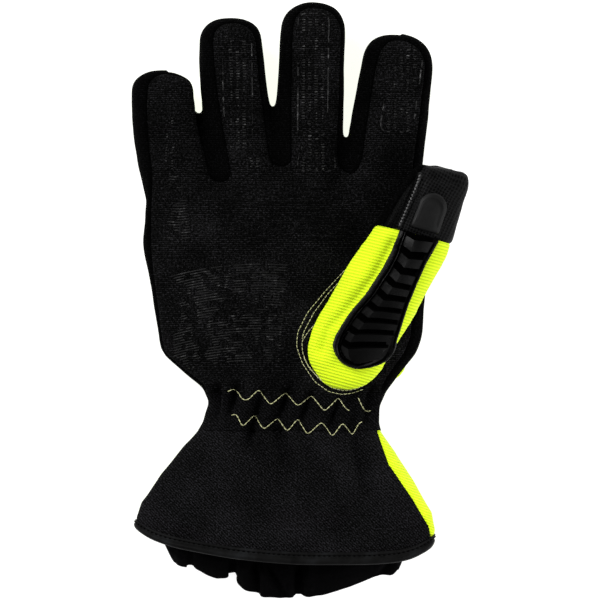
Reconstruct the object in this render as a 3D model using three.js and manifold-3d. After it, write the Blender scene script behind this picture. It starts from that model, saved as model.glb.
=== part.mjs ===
// A right-hand extrication glove, lying on its back with the palm up: a hollow glove sewn from a palm,
// a back and side walls, a thumb with a ribbed impact guard, a gathered wrist, a flared gauntlet cuff
// with a bound hem, and the crumpled end of its liner.
// Millimetres. +Z is up and out of the palm, +Y runs to the fingertips, +X to the thumb's side, and the
// origin is under the middle of the glove, on the surface that it lies on.
import * as THREE from "three";
import Module from "manifold-3d";

// Driving sizes
const WALL = 2.0; // shell fabric and its lining
const GAP = 0.3; // between two pieces that are sewn to each other
const WRIST_TOP_Y = -46.0; // where the hand ends and the gathered wrist begins
const WRIST_END_Y = -63.5; // where the gathered wrist ends and the cuff begins
const FINGER_MID_Z = 12.0; // height of a finger's centreline at the knuckles
const FLOOR_PRESS = 2.0; // how far the weight presses the back flat
const FINGER_ROOT = 12; // how far a finger's tube runs on into the palm
const SQUARENESS = 2.5; // exponent of the fingers' and the thumb's rounded sections
const PALM_SQUARENESS = 2.6; // and of the palm's and the cuff's
const TIP_BLUNTNESS = 2.3; // exponent of the fingertips' outline, seen from above
const CURL = { startY: 40, endY: 146, rise: 9 }; // how the fingers lift towards their tips
const GATHERS = 10; // folds round the elastic wrist
const GATHER_DEPTH = 1.5;

const FINGER_SIDES = 12;
const PALM_SIDES = 24;
const CUFF_SIDES = 40;
const THUMB_SIDES = 14;

// The four fingers, seen from above: the centreline's base, middle and end, and the half-widths there.
const FINGERS = [
  { name: "little", base: [-56.7, 50.9], mid: [-64, 85], end: [-65.7, 111.8], halves: [18.3, 17.5, 15.9] },
  { name: "ring", base: [-25.6, 55.8], mid: [-31.7, 99.1], end: [-34.3, 137.6], halves: [17.9, 17.6, 15.3] },
  { name: "middle", base: [3.6, 58.2], mid: [4.8, 102.0], end: [6.8, 145.6], halves: [18.2, 17.4, 16.0] },
  { name: "index", base: [38.7, 55.8], mid: [43.6, 93.3], end: [49.4, 130.0], halves: [19.3, 19.0, 16.8] },
];

// Their half-heights at base and tip, the length of the round tip, and how far the palm's seam stays from it.
const FINGER_ENDS = {
  little: { heights: [12.3, 10.6], tipLength: 11.7, tipMargin: 1.4 },
  ring: { heights: [12.6, 11.0], tipLength: 12.7, tipMargin: 2.7 },
  middle: { heights: [12.8, 11.2], tipLength: 14.6, tipMargin: 2.2 },
  index: { heights: [12.6, 11.0], tipLength: 14.6, tipMargin: 2.5 },
};

// The palm's two seams along each finger, as shares of its half-width, at the tip and at the base.
const FINGER_SEAMS = {
  little: { left: [-0.5, -0.74], right: [0.88, 0.82] },
  ring: { left: [-0.6, -0.36], right: [0.82, 0.72] },
  middle: { left: [-0.65, -0.42], right: [0.92, 0.85] },
  index: { left: [-0.55, -0.52], right: [0.86, 0.8] },
};

// The palm panel's edge at the foot of each gap between two fingers.
const WEBS = [
  { between: "little and ring", left: -44.0, right: -34.0, y: 57.4 },
  { between: "ring and middle", left: -13.8, right: -4.4, y: 65.0 },
  { between: "middle and index", left: 20.4, right: 28.0, y: 61.4 },
];

// The palm, from the webs to the wrist: its two sides, its top, and the palm panel's two seams.
const PALM = [
  { y: 60.0, left: -73.6, right: 54.6, top: 21.0, leftSeam: -71.5, rightSeam: 53.0 },
  { y: 47.0, left: -75.3, right: 59.0, top: 26.6, leftSeam: -73.6, rightSeam: 56.4 },
  { y: 25.0, left: -76.7, right: 61.6, top: 30.4, leftSeam: -73.6, rightSeam: 57.6 },
  { y: 12.0, left: -73.6, right: 61.8, top: 32.0, leftSeam: -72.4, rightSeam: 57.2 },
  { y: -18.0, left: -68.9, right: 59.2, top: 34.0, leftSeam: -68.1, rightSeam: 54.6 },
  { y: -26.0, left: -67.2, right: 56.5, top: 33.4, leftSeam: -66.4, rightSeam: 51.4 },
  { y: -37.5, left: -54.2, right: 47.0, top: 31.2, leftSeam: -53.2, rightSeam: 43.4 },
  { y: -42.5, left: -48.6, right: 43.6, top: 30.2, leftSeam: -47.6, rightSeam: 40.6 },
  { y: WRIST_TOP_Y, left: -46.0, right: 42.0, top: 29.6, leftSeam: -45.0, rightSeam: 39.2 },
];

// The gathered wrist, between the hand and the cuff.
const WRIST = [
  { y: WRIST_TOP_Y - GAP, left: -46.0, right: 41.8, top: 29.6, gather: 0.5 },
  { y: -50.0, left: -44.2, right: 39.4, top: 29.0, gather: 1.0 },
  { y: -57.0, left: -46.4, right: 38.4, top: 29.2, gather: 1.0 },
  { y: WRIST_END_Y, left: -50.2, right: 39.4, top: 30.0, gather: 0.9 },
];

// The cuff, as shares of the way from the wrist's end to the hem. Its floor rises where the binding
// goes under it.
const CUFF = [
  { share: 0.0, left: -50.4, right: 39.6, top: 30.0, gather: 0.9, floor: 0.0 },
  { share: 0.15, left: -56.6, right: 44.0, top: 31.8, gather: 0.7, floor: 0.0 },
  { share: 0.4, left: -65.4, right: 51.6, top: 35.4, gather: 0.35, floor: 0.0 },
  { share: 0.7, left: -74.4, right: 60.6, top: 39.8, gather: 0.0, floor: 0.8 },
  { share: 1.0, left: -79.2, right: 64.0, top: 42.2, gather: 0.0, floor: 1.6 },
];

// The hem's curve, seen from above.
const HEM = { lowX: 17, lowY: -129.2, leftRise: 0.00173, rightRise: 2.0e-6 };
const CUFF_EDGE_SETBACK = 1.4; // the binding's fold lies beyond the cuff's cut edge by this much

// The front panel's edge on the thumb's side.
const CUFF_SEAM = [
  { x: 34.0, y: -50.0 },
  { x: 37.4, y: -62.0 },
  { x: 43.6, y: -80.0 },
  { x: 51.0, y: -96.0 },
  { x: 59.4, y: -111.0 },
  { x: 62.6, y: -122.0 },
  { x: 63.0, y: -140.0 },
];
const CUFF_MID_Z = 15.0; // the front and back panels meet at this height on the little finger's side

const BINDING = { depth: 6.0, thickness: 1.3, fold: 1.3 };

// The liner: where it is sewn inside the cuff, and how it runs out past the hem. Each row holds its box
// seen from the mouth, how far it runs past the hem at its longest, and how deep it ruffles.
const LINER_START_Y = -82.0;
const LINER = [
  { share: 0.0, left: -60.6, right: 44.8, bottom: 2.6, top: 29.6, ruffle: 0.0 },
  { share: 0.3, left: -63.6, right: 48.6, bottom: 3.4, top: 31.4, ruffle: 1.0 },
  { share: 0.6, left: -67.0, right: 52.4, bottom: 3.6, top: 33.2, ruffle: 2.0 },
  { share: 0.8, left: -62.6, right: 51.0, bottom: 3.8, top: 30.0, ruffle: 3.0 },
  { share: 1.0, left: -50.4, right: 40.0, bottom: 4.6, top: 23.0, ruffle: 3.4 },
];
const LINER_RUFFLES = 9;
const LINER_WALL = 1.2;

// The liner's free edge, seen from above.
const LINER_END = { midX: -8, longestY: -144.0, rise: 0.0066, lobe: 1.6, lobes: 7 };

// The thumb's centreline, half-width and half-height, from its sewn-in base to its tip.
const THUMB = [
  { x: 12.7, y: -40.2, z: 28.4, half: 6.2, height: 3.2 },
  { x: 14.0, y: -38.1, z: 28.4, half: 11.1, height: 5.4 },
  { x: 16.1, y: -34.7, z: 28.5, half: 15.4, height: 7.6 },
  { x: 18.8, y: -30.5, z: 28.6, half: 18.2, height: 9.6 },
  { x: 22.5, y: -24.5, z: 29.0, half: 19.5, height: 11.4 },
  { x: 29.0, y: -13.4, z: 30.6, half: 19.8, height: 13.4 },
  { x: 40.3, y: 6.4, z: 36.2, half: 20.0, height: 14.0 },
  { x: 53.8, y: 28.0, z: 40.0, half: 18.6, height: 13.2 },
  { x: 60.0, y: 42.0, z: 40.6, half: 16.8, height: 12.4 },
  { x: 65.2, y: 52.6, z: 40.4, half: 14.8, height: 11.4 },
  { x: 69.2, y: 57.6, z: 40.2, half: 13.2, height: 9.8 },
  { x: 71.2, y: 60.8, z: 40.0, half: 11.4, height: 7.4 },
  { x: 72.6, y: 62.8, z: 40.0, half: 7.2, height: 4.4 },
];

// The leather cap's lower edge, from above.
const THUMB_CAP_LINE = { left: [36.0, 39.2], right: [76.0, 27.2] };
const THUMB_CAP_LEFT = 0.55; // the cap's seam beside the palm, as a share of the half-width

// The impact guard's outline and rib lines, seen from above, each row across the thumb.
const GUARD = [
  { left: [24.8, -32.6], right: [30.4, -32.6] },
  { left: [19.4, -29.4], right: [38.2, -30.2] },
  { left: [16.4, -23.2], right: [42.0, -26.0] },
  { left: [18.6, -15.4], right: [45.4, -18.4] },
  { left: [24.6, -6.8], right: [48.6, -11.0] },
  { left: [33.8, 3.8], right: [52.0, -1.4] },
  { left: [41.4, 14.4], right: [56.0, 8.0] },
  { left: [46.4, 23.4], right: [61.0, 18.6] },
  { left: [48.8, 32.4], right: [66.2, 30.0] },
];
const GUARD_BASE = 1.8; // height of the plate over the fabric
const GUARD_RIM = { height: 3.4, width: 1.9 };
const GUARD_RIBS = { count: 9, height: 4.0, share: 0.62, inset: 0.2, first: 0.11, last: 0.955, bend: 0.02 };

// The small arched tab on the cap.
const NAIL_PAD = {
  bottomLeft: [54.4, 35.2],
  bottomRight: [66.4, 32.4],
  archCentre: [64.2, 44.4],
  archRadius: 6.2,
  archFrom: -0.35,
  archTo: 2.99,
  height: 1.7,
};

// Colours
const BLACK_KNIT = 0x17171a;
const SIDE_BLACK = 0x0d0d0f;
const HI_VIS = 0xcbe622;
const RUBBER = 0x141517;
const LEATHER = 0x1a1b1d;
const BINDING_BLACK = 0x1c1d20;

const wasm = await Module();
wasm.setup();

const lerp = THREE.MathUtils.lerp;
const clamp = THREE.MathUtils.clamp;

function solidFrom(points, triangles) {
  return new wasm.Manifold(
    new wasm.Mesh({
      numProp: 3,
      vertProperties: new Float32Array(points.flatMap((p) => [p.x, p.y, p.z])),
      triVerts: new Uint32Array(triangles.flat()),
    }),
  );
}

function union(solids) {
  return solids.reduce((whole, solid) => whole.add(solid));
}

function largestOf(solid) {
  return solid.decompose().sort((a, b) => b.volume() - a.volume())[0];
}

// A closed solid skinned over rings that each have the same number of points, with flat fans at the ends.
function loft(rings) {
  const sides = rings[0].length;
  const points = rings.flat();
  const triangles = [];
  for (let r = 0; r + 1 < rings.length; r++) {
    for (let i = 0; i < sides; i++) {
      const next = (i + 1) % sides;
      const [a, b] = [r * sides + i, r * sides + next];
      const [c, d] = [a + sides, b + sides];
      triangles.push([a, b, d], [a, d, c]);
    }
  }
  for (const last of [false, true]) {
    const ring = last ? rings.at(-1) : rings[0];
    const first = last ? (rings.length - 1) * sides : 0;
    const centre = ring.reduce((sum, p) => sum.add(p), new THREE.Vector3()).divideScalar(sides);
    points.push(centre);
    for (let i = 0; i < sides; i++) {
      const [a, b] = [first + i, first + ((i + 1) % sides)];
      triangles.push(last ? [a, b, points.length - 1] : [b, a, points.length - 1]);
    }
  }
  return solidFrom(points, triangles);
}

// A closed band: the outer rings from one end to the other, and the inner rings back again.
function band(outerRings, innerRings) {
  const rings = [...outerRings, ...innerRings.toReversed()];
  const sides = rings[0].length;
  const triangles = [];
  for (let r = 0; r < rings.length; r++) {
    const after = (r + 1) % rings.length;
    for (let i = 0; i < sides; i++) {
      const next = (i + 1) % sides;
      const [a, b, c, d] = [r * sides + i, r * sides + next, after * sides + i, after * sides + next];
      triangles.push([a, b, d], [a, d, c]);
    }
  }
  return solidFrom(rings.flat(), triangles);
}

// An upright prism over an outline, between two heights.
function prism(outline, bottom, top) {
  const flat = outline.map(([x, y]) => new THREE.Vector2(x, y));
  if (THREE.ShapeUtils.isClockWise(flat)) flat.reverse();
  const n = flat.length;
  const points = [
    ...flat.map((p) => new THREE.Vector3(p.x, p.y, bottom)),
    ...flat.map((p) => new THREE.Vector3(p.x, p.y, top)),
  ];
  const triangles = [];
  for (const [a, b, c] of THREE.ShapeUtils.triangulateShape(flat, [])) {
    triangles.push([c, b, a], [a + n, b + n, c + n]);
  }
  for (let i = 0; i < n; i++) {
    const next = (i + 1) % n;
    triangles.push([i, next, next + n], [i, next + n, i + n]);
  }
  return solidFrom(points, triangles);
}

// A superellipse's point at an angle, as shares of its half-width and half-height.
function rounded(angle, squareness) {
  const power = 2 / squareness;
  const [c, s] = [Math.cos(angle), Math.sin(angle)];
  return [Math.sign(c) * Math.abs(c) ** power, Math.sign(s) * Math.abs(s) ** power];
}

// A quadratic through three values, at 0, a half and 1.
function through(first, middle, last, t) {
  const control = 2 * middle - (first + last) / 2;
  return (1 - t) ** 2 * first + 2 * t * (1 - t) * control + t ** 2 * last;
}

function midHeight(y) {
  const t = clamp((y - CURL.startY) / (CURL.endY - CURL.startY), 0, 1);
  return FINGER_MID_Z + CURL.rise * t * t;
}

// Fingers

function fingerCentre(finger, t) {
  return [0, 1].map((axis) => through(finger.base[axis], finger.mid[axis], finger.end[axis], t));
}

function fingerSide(finger, t) {
  const [x0, y0] = fingerCentre(finger, t - 0.01);
  const [x1, y1] = fingerCentre(finger, t + 0.01);
  const length = Math.hypot(x1 - x0, y1 - y0);
  return [(y1 - y0) / length, -(x1 - x0) / length];
}

function fingerLength(finger) {
  return Math.hypot(finger.end[0] - finger.base[0], finger.end[1] - finger.base[1]);
}

// How much of its full section the finger still has, at a distance from its very end.
function tipShare(finger, distance) {
  const left = clamp(1 - distance / FINGER_ENDS[finger.name].tipLength, 0, 1);
  return (1 - left ** TIP_BLUNTNESS) ** (1 / TIP_BLUNTNESS);
}

function fingerHalf(finger, t) {
  return through(...finger.halves, t);
}

// Places along a finger, as distances from its end: a few down the shaft and closer ones at the tip.
function fingerPlaces(finger, endGap) {
  const { tipLength } = FINGER_ENDS[finger.name];
  const shaft = fingerLength(finger) + FINGER_ROOT - tipLength;
  const down = [1, 0.5, 0].map((share) => endGap + tipLength + share * (shaft - endGap));
  const round = [0.48, 0.2, 0.03].map((share) => endGap + share * tipLength);
  return [...down, ...round];
}

function fingerSolid(finger, offset) {
  const rings = fingerPlaces(finger, -offset).map((distance) => {
    const t = 1 - distance / fingerLength(finger);
    const share = tipShare(finger, distance + offset);
    const half = (fingerHalf(finger, t) + offset) * share;
    const height = (lerp(...FINGER_ENDS[finger.name].heights, t) + offset) * share;
    const [x, y] = fingerCentre(finger, t);
    const [sideX, sideY] = fingerSide(finger, t);
    const ring = [];
    for (let i = 0; i < FINGER_SIDES; i++) {
      const [across, up] = rounded(((i + 0.5) / FINGER_SIDES) * 2 * Math.PI, SQUARENESS);
      const px = x + sideX * across * half;
      const py = y + sideY * across * half;
      ring.push(new THREE.Vector3(px, py, Math.max(-offset, midHeight(y) + up * height)));
    }
    return ring;
  });
  return loft(rings.map((ring) => ring.toReversed()));
}

// Sack sections: the palm, the wrist and the cuff

// One ring across the glove, from its sides and top, pressed flat where it lies on the surface.
function sackRing(row, offset, sides, yAt, gather = 0) {
  const [centre, half] = [(row.left + row.right) / 2, (row.right - row.left) / 2 + offset];
  const { floor = 0 } = row;
  const middle = (row.top + floor) / 2;
  const ring = [];
  for (let i = 0; i < sides; i++) {
    const angle = ((i + 0.5) / sides) * 2 * Math.PI;
    const [across, up] = rounded(angle, PALM_SQUARENESS);
    const fold = up > 0 ? gather * Math.cos(GATHERS * angle) : 0;
    const height = middle - floor + offset + fold + (up < 0 ? FLOOR_PRESS : 0);
    const x = centre + across * half;
    ring.push(new THREE.Vector3(x, yAt(x), Math.max(floor - offset, middle + up * height)));
  }
  return ring;
}

function palmSolid(offset) {
  const rows = PALM.map((row) => ({ ...row }));
  if (offset < 0) rows.at(-1).y -= 4;
  const rings = rows.map((row, i) => {
    const setback = i === 0 ? offset : 0;
    return sackRing(row, offset, PALM_SIDES, () => row.y + setback);
  });
  return loft(rings);
}

function handSolid(offset) {
  return union([palmSolid(offset), ...FINGERS.map((finger) => fingerSolid(finger, offset))]);
}

// Seam outlines, seen from above

// Up a finger's left seam, round its tip and down its right seam.
function fingerOutline(finger, leftSeam, rightSeam) {
  const { tipLength, tipMargin } = FINGER_ENDS[finger.name];
  const places = [
    ...[1, 0.66, 0.33, 0].map((share) => lerp(tipLength, fingerLength(finger) - 14, share)),
    ...[0.5, 0.22, 0.05].map((share) => share * tipLength),
  ];
  const edge = (seam) =>
    places.map((distance) => {
      const t = 1 - (distance + tipMargin) / fingerLength(finger);
      const across = lerp(seam[1], seam[0], t) * fingerHalf(finger, t) * tipShare(finger, distance);
      const [x, y] = fingerCentre(finger, t);
      const [sideX, sideY] = fingerSide(finger, t);
      return [x + sideX * across, y + sideY * across];
    });
  return [...edge(leftSeam), ...edge(rightSeam).toReversed()];
}

// A panel's outline: round the four fingers, down the thumb's side, past the wrist, and up the other side.
function panelOutline(seamsOf, edgesOf) {
  const rows = PALM.filter((row) => row.y < 50);
  const outline = [];
  FINGERS.forEach((finger, i) => {
    const { left, right } = seamsOf(finger);
    outline.push(...fingerOutline(finger, left, right));
    if (i < WEBS.length) outline.push([WEBS[i].left, WEBS[i].y], [WEBS[i].right, WEBS[i].y]);
  });
  const down = rows.map((row) => [edgesOf(row).right, row.y]);
  const up = rows.toReversed().map((row) => [edgesOf(row).left, row.y]);
  const past = WRIST_TOP_Y - 10;
  outline.push(...down, [down.at(-1)[0], past], [up[0][0], past], ...up);
  return outline;
}

// An outline moved outwards by an amount, or inwards by a negative one. It runs clockwise from above.
function grown(outline, amount) {
  return outline.map(([x, y], i) => {
    const [bx, by] = outline.at(i - 1);
    const [ax, ay] = outline[(i + 1) % outline.length];
    const before = new THREE.Vector2(-(y - by), x - bx).normalize();
    const after = new THREE.Vector2(-(ay - y), ax - x).normalize();
    const middle = before.clone().add(after).normalize();
    const reach = amount / Math.max(0.4, middle.dot(before));
    return [x + middle.x * reach, y + middle.y * reach];
  });
}

const SPAN = 110; // further than the glove reaches to either side
const BACK_SEAM = 0.84; // the back panel's seams, as a share of a finger's half-width
const BACK_INSET = 5.0; // and how far in from the palm's sides they run

// Everything above the middle of the hand, whose height follows the fingers' curl.
function upperHalf(shift) {
  const rings = [];
  const top = 90;
  for (let y = 170; y >= -70; y -= 30) {
    const floor = midHeight(y) + shift;
    const corners = [[-SPAN, floor], [SPAN, floor], [SPAN, top], [-SPAN, top]];
    rings.push(corners.map(([x, z]) => new THREE.Vector3(x, y, z)));
  }
  return loft(rings);
}

function palmRegion(grow) {
  const outline = panelOutline(
    (finger) => FINGER_SEAMS[finger.name],
    (row) => ({ left: row.leftSeam, right: row.rightSeam }),
  );
  return prism(grown(outline, grow), -10, 80).intersect(upperHalf(-grow));
}

function backRegion(grow) {
  const outline = panelOutline(
    () => ({ left: [-BACK_SEAM, -BACK_SEAM], right: [BACK_SEAM, BACK_SEAM] }),
    (row) => ({ left: row.left + BACK_INSET, right: row.right - BACK_INSET }),
  );
  return prism(grown(outline, grow), -10, 80).subtract(upperHalf(grow));
}

// Thumb

function thumbFrame(i) {
  const before = THUMB[Math.max(0, i - 1)];
  const after = THUMB[Math.min(THUMB.length - 1, i + 1)];
  const along = new THREE.Vector3(after.x - before.x, after.y - before.y, after.z - before.z).normalize();
  const side = new THREE.Vector3(along.y, -along.x, 0).normalize();
  return { side, up: new THREE.Vector3().crossVectors(side, along) };
}

function thumbSolid(offset) {
  const last = THUMB.length - 1;
  const rings = THUMB.map((row, i) => {
    const { side, up } = thumbFrame(i);
    const along = new THREE.Vector3().crossVectors(up, side);
    const push = i === 0 ? -offset : i === last ? offset : 0;
    const centre = new THREE.Vector3(row.x, row.y, row.z).addScaledVector(along, push);
    const ring = [];
    for (let k = 0; k < THUMB_SIDES; k++) {
      const [across, rise] = rounded(((k + 0.5) / THUMB_SIDES) * 2 * Math.PI, SQUARENESS);
      const half = Math.max(1, row.half + offset);
      const height = Math.max(1, row.height + offset);
      ring.push(centre.clone().addScaledVector(side, across * half).addScaledVector(up, rise * height));
    }
    return ring;
  });
  return loft(rings.map((ring) => ring.toReversed()));
}

// Everything on the dorsal side of the thumb's seam. The seam lies at mid-height, or, for the cap, it
// climbs to the given share of the half-width beside the palm.
function thumbUpperSide(capSeam, shift) {
  const reach = 45;
  const rings = THUMB.map((row, i) => {
    const { side, up } = thumbFrame(i);
    const along = new THREE.Vector3().crossVectors(up, side);
    const push = i === 0 ? -10 : i === THUMB.length - 1 ? 10 : 0;
    const centre = new THREE.Vector3(row.x, row.y, row.z).addScaledVector(along, push);
    const seamHeight = row.height * (1 - capSeam ** SQUARENESS) ** (1 / SQUARENESS);
    const slope = capSeam ? (seamHeight + 1) / (row.half * (1 + capSeam)) : 0;
    const floorAt = (across) => shift - slope * (across - row.half) - (capSeam ? 1 : 0);
    const corners = [[-reach, floorAt(-reach)], [reach, floorAt(reach)], [reach, 60], [-reach, 60]];
    const at = ([across, rise]) => centre.clone().addScaledVector(side, across).addScaledVector(up, rise);
    return corners.map(at);
  });
  return loft(rings.map((ring) => ring.toReversed()));
}

function capRegion(shift) {
  const { left, right } = THUMB_CAP_LINE;
  const [dx, dy] = [right[0] - left[0], right[1] - left[1]];
  const length = Math.hypot(dx, dy);
  const [nx, ny] = [(-dy / length) * shift, (dx / length) * shift];
  const edge = [left, right].map(([x, y]) => [x + nx, y + ny]);
  return prism([...edge, [120, 90], [20, 110]], -10, 100);
}

// Guard

function guardOutline(inset) {
  const outline = [...GUARD.map((row) => row.left), ...GUARD.toReversed().map((row) => row.right)];
  return grown(outline, -inset);
}

// A point inside the guard: a share of the way up it, and a share of the way across.
function guardPoint(up, across) {
  const place = clamp(up, 0, 1) * (GUARD.length - 1);
  const row = Math.min(Math.floor(place), GUARD.length - 2);
  const mixed = (a, b, t) => [lerp(a[0], b[0], t), lerp(a[1], b[1], t)];
  const left = mixed(GUARD[row].left, GUARD[row + 1].left, place - row);
  const right = mixed(GUARD[row].right, GUARD[row + 1].right, place - row);
  return mixed(left, right, across);
}

function guardSolid() {
  const layer = (height) => thumbSolid(height).subtract(thumbSolid(GAP));
  const upright = (outline) => prism(outline, 30, 100);
  const whole = upright(guardOutline(0));
  const middle = upright(guardOutline(GUARD_RIM.width));
  const { count, height, share, inset, first, last, bend } = GUARD_RIBS;
  const ribs = [];
  for (let i = 0; i < count; i++) {
    const low = lerp(first, last, i / count);
    const high = low + ((last - first) / count) * share;
    const lower = [[low, inset], [low - bend, 0.45], [low, 1 - inset]];
    const upper = [[high, 1 - inset], [high - bend, 0.45], [high, inset]];
    ribs.push(upright([...lower, ...upper].map(([up, across]) => guardPoint(up, across))));
  }
  return union([
    layer(GUARD_BASE).intersect(whole),
    layer(GUARD_RIM.height).intersect(whole.subtract(middle)),
    layer(height).intersect(union(ribs)),
  ]);
}

function nailPadSolid() {
  const { bottomLeft, bottomRight, archCentre, archRadius, archFrom, archTo, height } = NAIL_PAD;
  const arch = new THREE.EllipseCurve(...archCentre, archRadius, archRadius, archFrom, archTo);
  const outline = [bottomLeft, bottomRight, ...arch.getPoints(8).map((p) => [p.x, p.y])];
  return thumbSolid(height).subtract(thumbSolid(GAP)).intersect(prism(outline, 38, 100));
}

// Cuff

function hemY(x) {
  const across = x - HEM.lowX;
  return HEM.lowY + (across < 0 ? HEM.leftRise * across ** 2 : HEM.rightRise * across ** 4);
}

function wristBand() {
  const rings = (offset) =>
    WRIST.map((row) => sackRing(row, offset, CUFF_SIDES, () => row.y, row.gather * GATHER_DEPTH));
  return band(rings(0), rings(-WALL));
}

// A ring of the cuff at a share of the way from the wrist to the hem, reading between the table's rows.
function cuffRow(share) {
  const next = Math.max(1, CUFF.findIndex((row) => row.share >= share));
  const [a, b] = [CUFF[next - 1], CUFF[next]];
  const t = (share - a.share) / (b.share - a.share);
  const mixed = {};
  for (const key of ["left", "right", "top", "gather", "floor"]) mixed[key] = lerp(a[key], b[key], t);
  return mixed;
}

function cuffRing(share, offset, fromHem) {
  const start = WRIST_END_Y - GAP;
  const yAt = (x) => lerp(start, hemY(x), share) + fromHem;
  const row = cuffRow(Math.min(1, share));
  return sackRing(row, offset, CUFF_SIDES, yAt, row.gather * GATHER_DEPTH);
}

function cuffSolid() {
  const edge = (row) => (row.share === 1 ? CUFF_EDGE_SETBACK + GAP : 0);
  const rings = (offset) => CUFF.map((row) => cuffRing(row.share, offset, edge(row)));
  return band(rings(0), rings(-WALL));
}

function cuffFrontPrism(grow) {
  const outline = [[-110, -50], ...CUFF_SEAM.map(({ x, y }) => [x + grow, y]), [-110, -140]];
  return prism(outline, CUFF_MID_Z - grow, 90);
}

// The binding wraps the cuff's cut edge: down its outside, under the edge, and a little way up inside.
function bindingSolid() {
  const { depth, thickness, fold } = BINDING;
  const inside = -WALL - GAP;
  const outer = [
    cuffRing(1, thickness + GAP, depth),
    cuffRing(1, thickness + GAP, 0.8),
    cuffRing(1, 0.2, 0),
    cuffRing(1, inside, 0),
  ];
  const inner = [cuffRing(1, GAP, depth), cuffRing(1, GAP, fold), cuffRing(1, inside, fold)];
  return band(outer, inner);
}

function linerEnd(x) {
  const { midX, longestY, rise, lobe, lobes } = LINER_END;
  const across = x - midX;
  const wave = lobe * Math.cos((across * lobes * Math.PI) / 60);
  return Math.min(hemY(x) - 2, longestY + rise * across ** 2 + wave);
}

function linerSolid() {
  const ringOf = (row, offset) => {
    const [centre, half] = [(row.left + row.right) / 2, (row.right - row.left) / 2 + offset];
    const [middle, height] = [(row.top + row.bottom) / 2, (row.top - row.bottom) / 2 + offset];
    const ring = [];
    for (let i = 0; i < CUFF_SIDES; i++) {
      const angle = ((i + 0.5) / CUFF_SIDES) * 2 * Math.PI;
      const [across, up] = rounded(angle, PALM_SQUARENESS);
      const fold = row.ruffle * (0.5 + 0.5 * Math.cos(LINER_RUFFLES * angle)) * (up > 0 ? -1 : 1);
      const x = centre + across * half;
      const y = lerp(LINER_START_Y, linerEnd(x), row.share);
      ring.push(new THREE.Vector3(x, y, middle + up * height + fold));
    }
    return ring;
  };
  return band(LINER.map((row) => ringOf(row, 0)), LINER.map((row) => ringOf(row, -LINER_WALL)));
}

// The glove

const glove = new THREE.Group();
glove.name = "extrication_glove";

function place(name, solid, color, roughness) {
  const mesh = solid.getMesh();
  const geometry = new THREE.BufferGeometry();
  geometry.setAttribute("position", new THREE.BufferAttribute(new Float32Array(mesh.vertProperties), 3));
  geometry.setIndex(new THREE.BufferAttribute(mesh.triVerts, 1));
  geometry.computeVertexNormals();
  const piece = new THREE.Mesh(geometry, new THREE.MeshStandardMaterial({ color, roughness, metalness: 0 }));
  piece.name = name;
  glove.add(piece);
}

const hand = handSolid(0).subtract(handSolid(-WALL)).subtract(thumbSolid(-WALL));
place("palm_panel", largestOf(hand.intersect(palmRegion(0))), BLACK_KNIT, 0.95);
place("back_panel", largestOf(hand.intersect(backRegion(0)).subtract(palmRegion(GAP))), HI_VIS, 0.85);

// What is left of the hand is its side walls, which a cut over each fingertip parts from one another.
const SIDE_WALLS = [
  "outer_side_wall",
  "fourchette_little_ring",
  "fourchette_ring_middle",
  "fourchette_middle_index",
  "inner_side_wall",
];
const tipCuts = FINGERS.map(({ end: [x, y] }) => {
  const corner = (across, along) => [x + (across * GAP) / 2, y + along * 13];
  return prism([corner(-1, -1), corner(1, -1), corner(1, 1), corner(-1, 1)], -10, 70);
});
const middleX = (solid) => (solid.boundingBox().min[0] + solid.boundingBox().max[0]) / 2;
hand
  .subtract(palmRegion(GAP))
  .subtract(backRegion(GAP))
  .subtract(union(tipCuts))
  .decompose()
  .sort((a, b) => b.volume() - a.volume())
  .slice(0, SIDE_WALLS.length)
  .sort((a, b) => middleX(a) - middleX(b))
  .forEach((wall, i) => place(SIDE_WALLS[i], wall, SIDE_BLACK, 0.9));

const thumb = thumbSolid(0).subtract(thumbSolid(-WALL)).subtract(handSolid(GAP));
const capSide = thumbUpperSide(THUMB_CAP_LEFT, 0).intersect(capRegion(0));
const capSideGrown = thumbUpperSide(THUMB_CAP_LEFT, -GAP).intersect(capRegion(-GAP));
const backSide = thumbUpperSide(0, 0).subtract(capRegion(-GAP));
const backSideGrown = thumbUpperSide(0, -GAP).subtract(capRegion(0));
place("thumb_back_panel", largestOf(thumb.intersect(backSide)), HI_VIS, 0.85);
place("thumb_cap", largestOf(thumb.intersect(capSide)), LEATHER, 0.55);
place("thumb_front_panel", largestOf(thumb.subtract(capSideGrown).subtract(backSideGrown)), BLACK_KNIT, 0.95);
place("thumb_guard", largestOf(guardSolid()), RUBBER, 0.5);
place("thumb_nail_pad", largestOf(nailPadSolid()), RUBBER, 0.5);

place("wrist_band", wristBand(), BLACK_KNIT, 0.95);
const cuff = cuffSolid();
place("cuff_front_panel", largestOf(cuff.intersect(cuffFrontPrism(0))), BLACK_KNIT, 0.95);
place("cuff_back_panel", largestOf(cuff.subtract(cuffFrontPrism(GAP))), HI_VIS, 0.85);
place("hem_binding", bindingSolid(), BINDING_BLACK, 0.5);
place("cuff_liner", linerSolid(), SIDE_BLACK, 0.95);

export default glove;
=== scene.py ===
import math

import bpy
import numpy as np
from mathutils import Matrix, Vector, noise
from mathutils.bvhtree import BVHTree
from mathutils.kdtree import KDTree


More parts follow.
